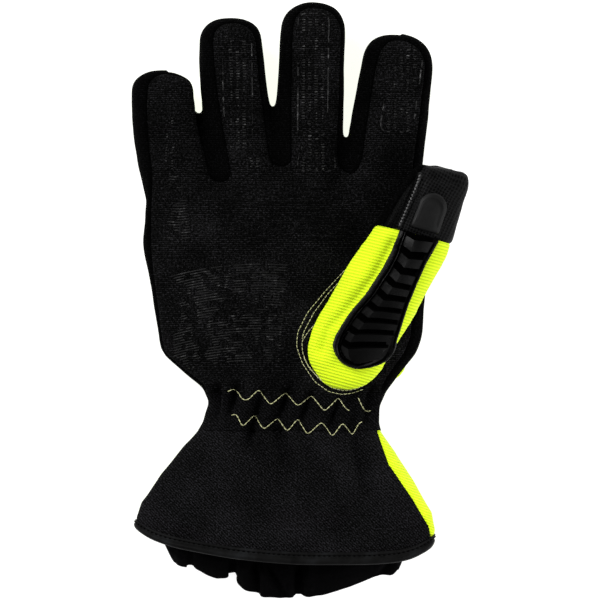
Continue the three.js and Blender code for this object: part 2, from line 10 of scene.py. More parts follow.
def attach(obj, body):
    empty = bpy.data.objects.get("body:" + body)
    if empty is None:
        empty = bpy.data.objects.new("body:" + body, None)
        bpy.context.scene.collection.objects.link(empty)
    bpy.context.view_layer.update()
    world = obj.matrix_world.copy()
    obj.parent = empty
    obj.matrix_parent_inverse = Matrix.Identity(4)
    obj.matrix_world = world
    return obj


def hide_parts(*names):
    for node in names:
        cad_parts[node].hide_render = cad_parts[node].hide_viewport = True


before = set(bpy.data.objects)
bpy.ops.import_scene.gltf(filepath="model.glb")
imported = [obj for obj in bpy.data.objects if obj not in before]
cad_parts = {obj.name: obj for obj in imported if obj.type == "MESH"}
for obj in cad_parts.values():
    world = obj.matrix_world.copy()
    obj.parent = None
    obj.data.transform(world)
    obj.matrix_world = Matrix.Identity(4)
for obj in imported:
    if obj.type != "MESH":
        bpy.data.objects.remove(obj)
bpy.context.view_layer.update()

MM = 0.001
TURN = 2 * math.pi

# Sizes shared with the solids

GAP = 0.3
WRIST_TOP_Y, WRIST_END_Y = -46.0, -63.5
FINGER_MID_Z = 12.0
FLOOR_PRESS = 2.0  # how much flatter the underside is than a full round
FINGER_ROOT = 12.0  # how far a finger runs on into the palm
SQUARENESS, PALM_SQUARENESS, TIP_BLUNTNESS = 2.5, 2.6, 2.3
CURL_START_Y, CURL_END_Y, CURL_RISE = 40.0, 146.0, 9.0
# how far the walls on the left and on the right of each gap between two fingers stand back
GAP_RELIEF = [(2.6, 0.5), (0.8, 0.85), (0.3, 0.9)]
BACK_SEAM = 0.84  # the back panel's seams along a finger, in half-widths
BACK_INSET = 5.0  # how far in from the hand's side the back panel ends

# name: base, middle and end of the centreline seen from above, half-widths there, half-heights at base
# and tip, length of the round tip, distance of the palm's seam from it
FINGERS = {
    "little": ((-56.7, 50.9), (-64.0, 85.0), (-65.7, 112.3), (18.3, 17.5, 15.9), (12.3, 10.6), 11.7, 1.4),
    "ring": ((-25.6, 55.8), (-31.7, 99.1), (-34.3, 138.5), (17.9, 17.6, 15.3), (12.6, 11.0), 12.7, 2.7),
    "middle": ((3.6, 58.2), (4.8, 102.0), (6.8, 145.6), (18.2, 17.4, 16.0), (12.8, 11.2), 14.6, 2.2),
    "index": ((38.7, 55.8), (43.6, 93.3), (49.4, 130.0), (19.3, 19.0, 16.8), (12.6, 11.0), 14.6, 2.5),
}
# the palm's left and right seam along a finger, each at the tip and at the base, in half-widths
FINGER_SEAMS = {
    "little": ((-0.5, -0.74), (0.88, 0.82)),
    "ring": ((-0.6, -0.36), (0.82, 0.72)),
    "middle": ((-0.65, -0.42), (0.92, 0.85)),
    "index": ((-0.55, -0.52), (0.86, 0.8)),
}
WEBS = [(-44.0, -34.0, 57.4), (-13.8, -4.4, 65.0), (20.4, 28.0, 61.4)]  # left, right, y

# y, left side, right side, top, palm panel's left seam, its right seam
PALM = [
    (60.0, -73.6, 54.6, 21.0, -71.5, 53.0),
    (47.0, -75.3, 59.0, 26.6, -73.6, 56.4),
    (25.0, -76.7, 61.6, 30.4, -73.6, 57.6),
    (12.0, -73.6, 61.8, 32.0, -72.4, 57.2),
    (-18.0, -68.9, 59.2, 34.0, -68.1, 54.6),
    (-26.0, -67.2, 56.5, 33.4, -66.4, 51.4),
    (-37.5, -53.6, 47.0, 31.2, -52.6, 43.4),
    (-42.5, -47.8, 43.4, 30.2, -46.8, 40.4),
    (WRIST_TOP_Y, -44.8, 40.4, 29.6, -43.8, 38.2),
]
# y, left side, right side, top
WRIST = [
    (-50.0, -43.3, 37.4, 29.0),
    (-57.0, -45.8, 37.4, 29.2),
    (WRIST_END_Y, -49.8, 39.3, 30.0),
    (-68.0, -52.0, 40.8, 30.6),
]
# share of the way to the hem, left side, right side, top, height of the underside
CUFF = [
    (0.0, -49.9, 39.3, 30.0, 0.0),
    (0.15, -57.4, 46.2, 31.8, 0.0),
    (0.4, -68.0, 55.4, 35.4, 0.0),
    (0.7, -77.2, 64.4, 39.8, 0.8),
    (0.88, -80.0, 66.2, 41.6, 1.3),
    (1.0, -79.6, 63.8, 42.2, 1.6),
]
HEM_LOW_X, HEM_LOW_Y = 17.0, -128.6
HEM_LEFT_RISE, HEM_CORNER_RISE, HEM_RIGHT_RISE = 0.000583, 0.014, 3.4e-7
# the cuff's front panel ends here on the thumb's side: x, y
CUFF_SEAM = [
    (34.0, -50.0), (37.4, -62.0), (43.6, -80.0), (50.0, -90.0), (55.6, -97.8), (60.0, -105.0),
    (63.2, -110.0), (64.8, -118.0), (65.5, -140.0),
]
CUFF_MID_Z = 15.0

# x, y, z of the thumb's centreline, half-width, half-height
THUMB = [
    (12.1, -41.2, 28.2, 2.0, 1.4),
    (12.7, -40.2, 28.4, 6.2, 3.2),
    (14.0, -38.1, 28.4, 11.1, 5.4),
    (16.1, -34.7, 28.5, 15.4, 7.6),
    (18.8, -30.5, 28.6, 18.2, 9.6),
    (22.5, -24.5, 29.0, 19.5, 11.4),
    (29.0, -13.4, 30.6, 19.8, 13.4),
    (40.3, 6.4, 36.2, 20.0, 14.0),
    (53.8, 28.0, 40.0, 18.6, 13.2),
    (60.0, 42.0, 40.6, 16.8, 12.4),
    (65.2, 52.6, 40.4, 14.9, 11.4),
    (68.2, 57.2, 40.2, 13.8, 10.2),
    (69.8, 60.0, 40.0, 13.0, 8.6),
    (70.4, 61.8, 40.0, 12.3, 6.8),
    (70.7, 62.9, 40.0, 11.0, 4.6),
    (70.8, 63.5, 40.0, 8.0, 2.6),
    (70.9, 63.8, 40.0, 2.6, 1.2),
]
CAP_LINE = np.array([(36.0, 36.7), (76.0, 26.4)])
CAP_LEFT = 0.86

# the guard's left and right edge, row by row from the wrist to the cap
GUARD = [
    (27.0, -33.1, 28.6, -33.1),
    (23.4, -32.0, 33.0, -32.4),
    (20.2, -30.2, 37.2, -30.8),
    (17.8, -27.6, 41.0, -28.6),
    (16.5, -24.6, 43.6, -25.4),
    (16.2, -21.2, 45.2, -21.8),
    (17.8, -16.6, 46.2, -17.8),
    (24.2, -7.2, 48.8, -10.6),
    (33.2, 3.8, 52.0, -1.4),
    (40.4, 14.8, 56.0, 8.0),
    (45.2, 23.8, 61.0, 18.6),
    (47.6, 32.0, 66.0, 27.6),
    (48.4, 34.4, 66.8, 30.0),
]

# Small numeric helpers


def lerp(a, b, t):
    return a + (b - a) * t


def smoothstep(low, high, value):
    t = np.clip((value - low) / (high - low), 0.0, 1.0)
    return t * t * (3.0 - 2.0 * t)


def bell(value, width):
    return np.exp(-((value / width) ** 2))


def unit(vectors):
    return vectors / np.maximum(np.linalg.norm(vectors, axis=-1, keepdims=True), 1e-9)


def through(first, middle, last, t):
    """A quadratic through three values, at 0, a half and 1."""
    control = 2.0 * middle - (first + last) / 2.0
    return (1 - t) ** 2 * first + 2 * t * (1 - t) * control + t**2 * last


def ring_angles(sides, shift=0.0):
    return (np.arange(sides) + shift) / sides * TURN


def rounded(angle, squareness):
    """A superellipse's point at an angle, in half-widths and half-heights."""
    power = 2.0 / squareness
    c, s = np.cos(angle), np.sin(angle)
    return np.sign(c) * np.abs(c) ** power, np.sign(s) * np.abs(s) ** power


def row_at(table, place):
    """A table's other columns at a place in its first one."""
    first, *others = np.asarray(table, dtype=float).T
    return [np.interp(place, first, column) for column in others]


def run_of(points):
    """How far along a polyline each of its points lies."""
    return np.concatenate([[0], np.cumsum(np.linalg.norm(np.diff(points, axis=0), axis=1))])


def evenly(points, spacing, closed=False):
    """A polyline resampled at an even spacing."""
    points = np.asarray(points, dtype=float)
    if closed:
        points = np.vstack([points, points[:1]])
    along = run_of(points)
    places = np.linspace(0, along[-1], max(2, int(round(along[-1] / spacing))) + 1)
    if closed:
        places = places[:-1]
    return np.stack([np.interp(places, along, column) for column in points.T], axis=1)


def softened(points, passes, closed=True):
    """A polyline with its corners rounded."""
    points = points.copy()
    for _ in range(passes):
        middle = (np.roll(points, 1, axis=0) + np.roll(points, -1, axis=0)) / 2
        if not closed:
            middle[0], middle[-1] = points[0], points[-1]
        points = (points + middle) / 2
    return points


def filled_in(rows, spacing, passes):
    """A table's rows filled in at an even spacing, with the corners between them rounded."""
    return softened(evenly(rows, spacing), passes, closed=False)


def line_distance(xy, path):
    """Distance to an open polyline seen from above, and how far along it the nearest place is."""
    best = np.full(len(xy), 1e18)
    place = np.zeros(len(xy))
    run = 0.0
    for a, b in zip(path[:-1], path[1:]):
        edge = b - a
        square = max(edge @ edge, 1e-12)
        t = np.clip((xy - a) @ edge / square, 0, 1)
        gap = xy - a - t[:, None] * edge
        away = np.einsum("ij,ij->i", gap, gap)
        nearer = away < best
        best[nearer] = away[nearer]
        place[nearer] = run + t[nearer] * math.sqrt(square)
        run += math.sqrt(square)
    return np.sqrt(best), place


def signed_distance(xy, outline):
    """Distance to a closed outline, positive inside it."""
    distance, _ = line_distance(xy, np.vstack([outline, outline[:1]]))
    inside = np.zeros(len(xy), dtype=bool)
    for a, b in zip(outline, np.roll(outline, -1, axis=0)):
        if a[1] != b[1]:
            spans = (a[1] > xy[:, 1]) != (b[1] > xy[:, 1])
            inside ^= spans & (xy[:, 0] < a[0] + (xy[:, 1] - a[1]) * (b[0] - a[0]) / (b[1] - a[1]))
    return np.where(inside, distance, -distance)


def cloud(points, size, seed):
    """Smooth noise at each point, about -1 to 1, with features of a size in millimetres."""
    shift = Vector((seed * 17.3, seed * 5.1, seed * 9.7))
    return np.array([noise.noise(Vector(p) / size + shift) for p in points])


def mid_height(y):
    t = np.clip((y - CURL_START_Y) / (CURL_END_Y - CURL_START_Y), 0, 1)
    return FINGER_MID_Z + CURL_RISE * t * t


# Triangle surfaces: points in millimetres and triangles as index rows


def grid_triangles(rows, columns, closed):
    """Triangles over a grid of points, whose rows may close round into rings."""
    r, c = np.meshgrid(np.arange(rows - 1), np.arange(columns if closed else columns - 1), indexing="ij")
    a, b = r * columns + c, r * columns + (c + 1) % columns
    corners = ((a, b, b + columns), (a, b + columns, a + columns))
    return np.concatenate([np.stack(three, -1).reshape(-1, 3) for three in corners])


def capped_tube(rings):
    """Points and triangles of a closed tube over rings of equal length."""
    rings = np.asarray(rings)
    rows, columns = rings.shape[:2]
    points = np.vstack([rings.reshape(-1, 3), rings[0].mean(axis=0), rings[-1].mean(axis=0)])
    ring = np.arange(columns)
    fan = np.stack([ring, np.roll(ring, -1), np.full(columns, rows * columns)], -1)
    last = fan + [(rows - 1) * columns, (rows - 1) * columns, 1]
    return points, np.vstack([grid_triangles(rows, columns, True), fan[:, ::-1], last])


def joined(parts):
    """One set of points and triangles from several."""
    bases = np.cumsum([0] + [len(points) for points, _ in parts])
    triangles = [triangles + base for base, (_, triangles) in zip(bases, parts)]
    return np.vstack([points for points, _ in parts]), np.vstack(triangles)


def mesh_of(name, points, triangles):
    mesh = bpy.data.meshes.new(name)
    mesh.from_pydata((points * MM).tolist(), [], triangles.tolist())
    mesh.update()
    return mesh


def added(name, data):
    """A new object in the scene."""
    thing = bpy.data.objects.new(name, data)
    bpy.context.scene.collection.objects.link(thing)
    return thing


def modified_mesh(thing):
    """A new mesh with an object's modifiers applied."""
    return bpy.data.meshes.new_from_object(thing.evaluated_get(bpy.context.evaluated_depsgraph_get()))


def fused(tubes, voxel):
    """One even surface round several overlapping closed tubes."""
    body = added("fusing", mesh_of("fusing", *joined(tubes)))
    remesh = body.modifiers.new("remesh", "REMESH")
    remesh.mode = "VOXEL"
    remesh.voxel_size = voxel * MM
    mesh = modified_mesh(body)
    mesh.calc_loop_triangles()
    points = np.empty(len(mesh.vertices) * 3)
    mesh.vertices.foreach_get("co", points)
    triangles = np.empty(len(mesh.loop_triangles) * 3, dtype=np.int32)
    mesh.loop_triangles.foreach_get("vertices", triangles)
    bpy.data.objects.remove(body)
    bpy.data.meshes.remove(mesh)
    return points.reshape(-1, 3) / MM, triangles.reshape(-1, 3)


def edges_of(triangles):
    edges = np.vstack([triangles[:, [0, 1]], triangles[:, [1, 2]], triangles[:, [2, 0]]])
    return np.unique(np.sort(edges, axis=1), axis=0)


def smoothed(points, triangles, passes):
    edges = edges_of(triangles)
    degree = np.bincount(edges.ravel(), minlength=len(points))[:, None]
    for _ in range(passes):
        total = np.zeros_like(points)
        np.add.at(total, edges[:, 0], points[edges[:, 1]])
        np.add.at(total, edges[:, 1], points[edges[:, 0]])
        points = (points + total / np.maximum(degree, 1)) / 2
    return points


def normals_of(points, triangles):
    a, b, c = (points[triangles[:, k]] for k in range(3))
    total = np.zeros_like(points)
    for k in range(3):
        np.add.at(total, triangles[:, k], np.cross(b - a, c - a))
    return unit(total)


def facing_out(points, triangles):
    """The triangles, all turned round if they face the middle."""
    away = points - points.mean(axis=0)
    return triangles if (normals_of(points, triangles) * away).sum() > 0 else triangles[:, ::-1]


def snapped(points, triangles, field, where=None):
    """Points moved so that a field's zero line runs along triangle edges, and the field at the new points.
    field gives a signed value at each point."""
    value = field(points)
    a, b = edges_of(triangles).T
    crossing = value[a] * value[b] < 0
    if where is not None:
        crossing &= where[a] & where[b]
    a, b = a[crossing], b[crossing]
    t = np.abs(value[a]) / (np.abs(value[a]) + np.abs(value[b]))
    near_a = t <= 0.5
    vertex, other = np.where(near_a, (a, b), (b, a))
    share = np.where(near_a, t, 1 - t)
    order = np.argsort(-share)  # the nearest crossing is written last
    vertex, other, share = vertex[order], other[order], share[order, None]
    target = points.copy()
    target[vertex] = lerp(points[vertex], points[other], share)
    value[vertex] = 0.0
    return target, value


def on_line(value):
    """Where a field's value puts a point on its zero line."""
    return np.abs(value) < 1e-9


def side_of(points, triangles, value, field):
    """Which triangles lie on a field's positive side, once its zero line runs along their edges."""
    corner = value[triangles]
    total = corner.sum(axis=1)
    flat = on_line(corner).all(axis=1)
    if flat.any():
        total[flat] = field(points[triangles[flat]].mean(axis=1))
    return total > 0


def part_of(points, triangles, chosen):
    """The chosen triangles with only their own points, and those points' old numbers."""
    old, corners = np.unique(triangles[chosen], return_inverse=True)
    return points[old], corners.reshape(-1, 3), old


def nearest(points, marks):
    """The number of the mark nearest to each point, and its distance."""
    tree = KDTree(len(marks))
    for i, mark in enumerate(marks):
        tree.insert(mark, i)
    tree.balance()
    found = [tree.find(p)[1:] for p in points]
    return np.array([number for number, _ in found]), np.array([distance for _, distance in found])


def surface_tree(points, triangles):
    return BVHTree.FromPolygons(points.tolist(), triangles.tolist())


def dropped(tree, xy):
    """Points set down on a surface from above, and the surface's normals there."""
    ground, normals = [], []
    for x, y in xy:
        place, normal, _, _ = tree.ray_cast(Vector((x, y, 120.0)), Vector((0, 0, -1)))
        if place is None:
            place, normal = (x, y, 20.0), (0, 0, 1)
        ground.append(place)
        normals.append(normal)
    return np.array(ground), np.array(normals)


def depth_inside(tree, points):
    """How deep each point lies inside a closed surface, negative outside it."""
    depth = np.empty(len(points))
    for i, p in enumerate(points):
        place, normal, _, distance = tree.find_nearest(p)
        depth[i] = distance if (Vector(p) - place).dot(normal) < 0 else -distance
    return depth


def piece_of(
    name, points, triangles, materials, slot, nodes=(), fill=None, thickness=0.0, uv=None, surfaces=None,
    crease=None,
):
    """A finished piece on the glove's one body: a smooth mesh with its materials. surfaces gives each face's
    place in the materials, crease is the angle in degrees from which an edge stays sharp, and a thickness
    gives the surface an inner side, in the last material."""
    mesh = mesh_of(name, points, triangles)
    mesh.shade_smooth()
    if crease is not None:
        mesh.set_sharp_from_angle(angle=math.radians(crease))
    if surfaces is not None:
        mesh.polygons.foreach_set("material_index", surfaces.astype(np.int32))
    loops = np.empty(len(mesh.loops), dtype=np.int32)
    mesh.loops.foreach_get("vertex_index", loops)
    layer = mesh.uv_layers.new(name="cloth")
    layer.data.foreach_set("uv", np.float32(points[:, :2] if uv is None else uv)[loops].ravel())
    for material in materials:
        mesh.materials.append(material)
    piece = added(name, mesh)
    if thickness:
        solid = piece.modifiers.new("thickness", "SOLIDIFY")
        solid.thickness = thickness * MM
        solid.offset = -1.0
        solid.material_offset = len(materials) - 1
        solid.use_quality_normals = True
        thick = modified_mesh(piece)
        piece.modifiers.clear()
        piece.data = thick
        bpy.data.meshes.remove(mesh)
    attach(piece, "root")
    if nodes:
        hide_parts(*nodes)
    return piece


# Materials


def new_node(tree, kind, inputs, **settings):
    """A new shader node's outputs. Each input is a value, or the output that feeds it."""
    node = tree.nodes.new("ShaderNode" + kind)
    for name, value in settings.items():
        setattr(node, name, value)
    for name, value in inputs.items():
        if isinstance(value, bpy.types.NodeSocket):
            tree.links.new(value, node.inputs[name])
        elif value is not None:
            node.inputs[name].default_value = value
    return node.outputs


def new_ramp(tree, value, stops):
    """Colours along a value: stops are pairs of place and linear colour, or one number for a grey."""
    colour = new_node(tree, "ValToRGB", {0: value})[0]
    elements = colour.node.color_ramp.elements
    while len(elements) < len(stops):
        elements.new(0.5)
    for element, (place, tone) in zip(elements, stops):
        element.position = place
        element.color = (*(tone if isinstance(tone, tuple) else grey(tone)), 1.0)
    return colour


def grey(value, tint=(1.0, 1.0, 1.0)):
    return tuple(value * t for t in tint)


class Shade:
    """A node material under construction. Its textures read the cloth map, which is in millimetres, or the
    object's own coordinates."""

    def __init__(self, name, roughness, specular, sheen=0.0, sheen_roughness=0.5):
        self.material = bpy.data.materials.new(name)
        self.material.use_nodes = True
        self.tree = self.material.node_tree
        self.shader = self.tree.nodes["Principled BSDF"].inputs
        self.shader["Roughness"].default_value = roughness
        self.shader["Specular IOR Level"].default_value = specular
        self.shader["Sheen Weight"].default_value = sheen
        self.shader["Sheen Roughness"].default_value = sheen_roughness
        self.cloth = self.node("UVMap", {}, uv_map="cloth")["UV"]
        self.object = self.node("TexCoord", {})["Object"]
        self.height = None

    def node(self, kind, inputs, **settings):
        return new_node(self.tree, kind, inputs, **settings)

    def feed(self, name, output):
        self.tree.links.new(output, self.shader[name])

    def math(self, operation, a, b=None, clamp=False):
        return self.node("Math", {0: a, 1: b}, operation=operation, use_clamp=clamp)[0]

    def mix(self, *parts):
        """The sum of several values, each times its share."""
        value, share = parts[0]
        total = self.math("MULTIPLY", value, share)
        for value, share in parts[1:]:
            total = self.math("ADD", total, self.math("MULTIPLY", value, share))
        return total

    def crossed(self, a, b, share, rest):
        """One value times a share of another, which leaves the rest of it always on."""
        return self.math("MULTIPLY", a, self.math("ADD", self.math("MULTIPLY", b, share), rest))

    def noise(self, scale, detail=2.0, roughness=0.6, stretch=(1, 1, 1), solid=False):
        """Noise in features per millimetre over the cloth, or through the solid object."""
        source, factor = (self.object, scale / MM) if solid else (self.cloth, scale)
        place = self.node("Mapping", {"Vector": source, "Scale": [factor * s for s in stretch]})[0]
        inputs = {"Vector": place, "Scale": 1.0, "Detail": detail, "Roughness": roughness}
        return self.node("TexNoise", inputs)["Fac"]

    def wave(self, pitch, angle, warp, warp_scale):
        """Ribs over the cloth, 0 to 1, at a pitch in millimetres, running across an angle in degrees."""
        turned = self.node("Mapping", {"Vector": self.cloth, "Rotation": (0, 0, math.radians(angle))})[0]
        along = self.node("SeparateXYZ", {0: turned})["Y"]
        along = self.math("ADD", along, self.math("MULTIPLY", self.noise(warp_scale, 1.0, 0.5), warp))
        swing = self.math("SINE", self.math("MULTIPLY", along, TURN / pitch))
        return self.math("ADD", self.math("MULTIPLY", swing, 0.5), 0.5)

    def colours(self, value, *stops):
        self.feed("Base Color", new_ramp(self.tree, value, stops))

    def rough(self, value, low, high):
        self.feed("Roughness", self.node("MapRange", {"To Min": low, "To Max": high, "Value": value})[0])

    def bump(self, value, depth):
        """Relief of a depth in millimetres, added to what is there already."""
        inputs = {"Strength": 1.0, "Distance": depth * MM, "Height": value, "Normal": self.height}
        self.height = self.node("Bump", inputs)[0]
        self.feed("Normal", self.height)


def knit_material(name, dark, light, nap):
    """Fine black knit with a short nap: broken courses, speckle and worn lighter patches."""
    shade = Shade(name, 0.9, 0.012, nap, 0.6)
    speckle = shade.noise(1.0, 4.0, 0.8)
    courses = shade.wave(0.95, 0, 0.6, 0.9)
    mixed = shade.mix((speckle, 0.85), (courses, 0.1), (shade.noise(0.05, 3.0), 0.2))
    worn = grey(light, (0.98, 0.95, 1.08))
    shade.colours(mixed, (0.51, dark), (0.63, lerp(dark, light, 0.14)), (0.78, worn))
    shade.rough(speckle, 0.78, 1.0)
    shade.bump(courses, 0.12)
    shade.bump(speckle, 0.5)
    return shade.material


def twill_material(name, dark, light):
    """Black twill: diagonal ribs broken by the crossing threads, with heathered flecks."""
    shade = Shade(name, 0.85, 0.012, 0.004)
    weave = shade.crossed(shade.wave(1.15, 45, 1.1, 0.9), shade.wave(1.0, 20, 0.6, 0.8), 0.5, 0.5)
    fleck = shade.noise(1.2, 3.0, 0.8)
    mixed = shade.mix((weave, 0.17), (fleck, 0.87), (shade.noise(0.03), 0.2))
    worn = grey(light, (0.98, 0.95, 1.1))
    shade.colours(mixed, (0.46, dark), (0.61, lerp(dark, light, 0.17)), (0.76, worn))
    shade.rough(weave, 0.95, 0.75)
    shade.bump(weave, 0.35)
    shade.bump(fleck, 0.4)
    return shade.material


def hi_vis_material(name, pitch, slant, ribbing):
    """High-visibility yellow-green knit with fine cross ribs."""
    shade = Shade(name, 0.75, 0.2, 0.05)
    weave = shade.crossed(shade.wave(pitch, slant, 0.4, 0.05), shade.wave(0.7, 90, 0.2, 0.3), 0.16, 0.84)
    mixed = shade.mix((weave, ribbing), (shade.noise(0.04, 2.0, 0.5), 1 - ribbing))
    shade.colours(mixed, (0.14, (0.45, 0.62, 0.001)), (0.42, (0.64, 0.88, 0.004)), (0.8, (0.75, 0.98, 0.01)))
    shade.bump(weave, 0.3)
    shade.bump(shade.noise(0.9), 0.1)
    return shade.material


def rubber_material(name, base, roughness, shine):
    """Moulded black rubber: fine grain, and darker and lighter scuff flecks at random. The guard's hollows
    take a near-black copy as painted shade, its left rim slope a lighter copy as a painted highlight.
    """
    shade = Shade(name, roughness, shine)
    scuff = shade.noise(0.12, 4.0, 0.7, solid=True)
    shade.colours(scuff, (0.35, base * 0.8), (0.55, base), (0.75, grey(base * 1.5, (1, 1, 1.06))))
    shade.rough(scuff, roughness - 0.08, roughness + 0.16)
    shade.bump(shade.noise(1.6, solid=True), 0.03)
    return shade.material


HOLE_PITCH, HOLE_RADIUS = 1.5, 0.52


def leather_material(name, tone, shine):
    """Perforated black synthetic leather: pebbled grain and rows of small holes."""
    shade = Shade(name, 0.42, shine)
    axes = shade.node("SeparateXYZ", {0: shade.cloth})
    squares = []
    for axis in ("X", "Y"):
        cell = shade.math("FRACT", shade.math("DIVIDE", axes[axis], HOLE_PITCH))
        offset = shade.math("MULTIPLY", shade.math("SUBTRACT", cell, 0.5), HOLE_PITCH)
        squares.append(shade.math("POWER", offset, 2.0))
    away = shade.math("SUBTRACT", shade.math("SQRT", shade.math("ADD", *squares)), HOLE_RADIUS * 0.8)
    leather = shade.math("DIVIDE", away, HOLE_RADIUS * 0.4, clamp=True)
    wear = shade.noise(0.15, 3.0)
    mixed = shade.crossed(leather, wear, 0.8, 0.3)
    shade.colours(mixed, (0.0, 0.0001), (0.4, tone * 0.4), (0.85, grey(tone, (1, 1, 1.05))))
    shade.rough(wear, 0.34, 0.6)
    shade.bump(leather, 0.35)
    shade.bump(shade.node("TexVoronoi", {"Scale": 2.2, "Vector": shade.cloth})["Distance"], 0.05)
    return shade.material


def tape_material(name):
    """Smooth black binding tape with a fine lengthwise grain."""
    shade = Shade(name, 0.5, 0.02)
    wear = shade.noise(0.08, 3.0)
    shade.colours(wear, (0.3, 0.0022), (0.5, 0.0045), (0.75, grey(0.011, (0.94, 1, 1.08))))
    shade.rough(wear, 0.38, 0.55)
    shade.bump(shade.noise(1.5, stretch=(0.15, 1.0, 1.0)), 0.05)
    return shade.material


def liner_material(name):
    """Soft dark lining cloth with a plain weave."""
    shade = Shade(name, 0.9, 0.006, 0.002)
    weave = shade.math("MULTIPLY", shade.wave(0.5, 0, 0.1, 0.5), shade.wave(0.5, 90, 0.1, 0.5))
    fuzz = shade.noise(1.2, 2.0, 0.7)
    mixed = shade.mix((weave, 0.4), (fuzz, 0.6))
    shade.colours(mixed, (0.25, 0.0001), (0.62, grey(0.0028, (1, 0.94, 1.08))))
    shade.bump(weave, 0.12)
    shade.bump(fuzz, 0.1)
    return shade.material


def thread_material(name, dark, light, shine=0.35):
    """Twisted sewing thread."""
    shade = Shade(name, 0.6, shine, 0.1 * shine)
    fleck = shade.noise(2.2, solid=True)
    shade.colours(fleck, (0.35, dark), (0.65, light))
    shade.bump(fleck, 0.08)
    return shade.material


def silicone_material(name, mid, painted_glint, shine):
    """Thin grip print of black silicone, worn dull in places; its lightest flecks are painted glints."""
    shade = Shade(name, 0.4, shine)
    wear = shade.noise(0.35, 3.0, 0.7)
    shade.colours(wear, (0.35, 0.001), (0.55, mid), (0.75, painted_glint))
    shade.rough(wear, 0.62, 0.34)
    shade.bump(wear, 0.1)
    return shade.material


PALM_KNIT = knit_material("palm_knit", 0.0002, 0.028, 0.001)
# side_knit is darker than the palm knit: partly the side fabric's own darker tone, partly painted shade for
# the walls down between the fingers
SIDE_KNIT = knit_material("side_knit", 0.0001, 0.006, 0.001)
HI_VIS = hi_vis_material("hi_vis_knit", 1.2, 20.0, 0.65)
HI_VIS_RIBBED = hi_vis_material("hi_vis_ribs", 1.5, 7.0, 0.7)
TWILL = twill_material("cuff_twill", 0.0001, 0.0185)
WRIST_KNIT = twill_material("wrist_knit", 0.0001, 0.0125)
RUBBER = rubber_material("guard_rubber", 0.0009, 0.32, 0.08)
# near-black matte rubber for the hollows between the guard's ribs: painted shade
PAINTED_SHADE_RUBBER = rubber_material("guard_hollow_painted_shade", 0.0002, 0.9, 0.01)
# lighter rubber for the guard rim's left slope: a painted highlight where it faces the key light
PAINTED_HIGHLIGHT_RIM_RUBBER = rubber_material("guard_rim_painted_highlight", 0.014, 0.4, 0.1)
PAD_RUBBER = rubber_material("pad_rubber", 0.0045, 0.42, 0.11)
LEATHER = leather_material("cap_leather", 0.0066, 0.034)
# a lighter copy of the leather for the faces just right of the crease: a painted highlight
CREASE_HIGHLIGHT_LEATHER = leather_material("cap_crease_painted_highlight", 0.02, 0.12)
SIDE_LEATHER = leather_material("cap_side_leather", 0.0014, 0.03)
TAPE = tape_material("binding_tape")
LINING = liner_material("lining")
PALE_THREAD = thread_material("pale_thread", (0.28, 0.285, 0.12), (0.52, 0.52, 0.3))
GREY_THREAD = thread_material("grey_thread", 0.015, 0.11)
BLACK_THREAD = thread_material("black_thread", 0.0002, 0.0006, 0.02)
# the lightest tone in each grip print material is a painted glint
SILICONE = silicone_material("grip_print", 0.012, 0.11, 0.12)
WORN_SILICONE = silicone_material("worn_grip_print", 0.005, 0.06, 0.12)
DULL_SILICONE = silicone_material("dull_grip_print", 0.001, 0.014, 0.02)

# Hand: one soft form, cut along its seams

HAND_VOXEL, THUMB_VOXEL = 0.9, 0.7
FABRIC = 1.6  # thickness of a padded panel
THUMB_FABRIC = 1.5
CUT_DEPTH = 2.5  # how far a sewn-in piece runs on under its neighbour


def cut_piece(name, surface, faces, materials, slot, node, fill, thickness=FABRIC, uv=None, surfaces=None):
    """A padded piece cut from a larger surface, with the lining on its inside."""
    points, triangles, old = part_of(*surface, faces)
    uv = points[:, :2] if uv is None else uv[old]
    piece_of(name, points, triangles, materials + [LINING], slot, [node], fill, thickness, uv, surfaces)


def oval_ring(left, right, top, bottom, angle, offset=0.0):
    """Across and up a ring of the palm or the cuff, pressed flatter underneath and moved out by an offset."""
    across, up = rounded(angle, PALM_SQUARENESS)
    middle = (top + bottom) / 2
    height = middle - bottom + offset + np.where(up < 0, FLOOR_PRESS, 0.0)
    x = (left + right) / 2 + across * ((right - left) / 2 + offset)
    return x, np.maximum(bottom - offset, middle + up * height)


def finger_centre(name, t):
    return np.array([through(*values, t) for values in zip(*FINGERS[name][:3])])


def finger_side(name, t):
    x, y = unit(finger_centre(name, t + 0.01) - finger_centre(name, t - 0.01))
    return np.array([y, -x])


def finger_length(name):
    return math.dist(FINGERS[name][0], FINGERS[name][2])


def tip_share(name, distance):
    left = min(max(1 - distance / FINGERS[name][5], 0.0), 1.0)
    return (1 - left**TIP_BLUNTNESS) ** (1 / TIP_BLUNTNESS)


def finger_tube(name):
    halves, heights, tip_length = FINGERS[name][3:6]
    length = finger_length(name)
    down = np.arange(length + FINGER_ROOT, tip_length, -1.5)
    tip = tip_length * (1 - np.sin(np.linspace(0, 0.485 * math.pi, 16)))
    across, up = rounded(ring_angles(56, 0.5), SQUARENESS)
    number = list(FINGERS).index(name)
    left_relief = GAP_RELIEF[number - 1][1] if number > 0 else 0.0
    right_relief = GAP_RELIEF[number][0] if number < len(GAP_RELIEF) else 0.0
    relief = np.where(across > 0, right_relief, left_relief)
    rings = []
    for distance in np.concatenate([down, tip]):
        t = 1 - distance / length
        share = tip_share(name, distance)
        centre = finger_centre(name, t)
        half = np.maximum(through(*halves, t) * share - relief * smoothstep(60.0, 78.0, centre[1]), 0.3)
        place = centre + finger_side(name, t) * (across * half)[:, None]
        z = np.maximum(0.0, mid_height(place[:, 1]) + up * lerp(*heights, t) * share)
        rings.append(np.column_stack([place, z]))
    return capped_tube(rings)


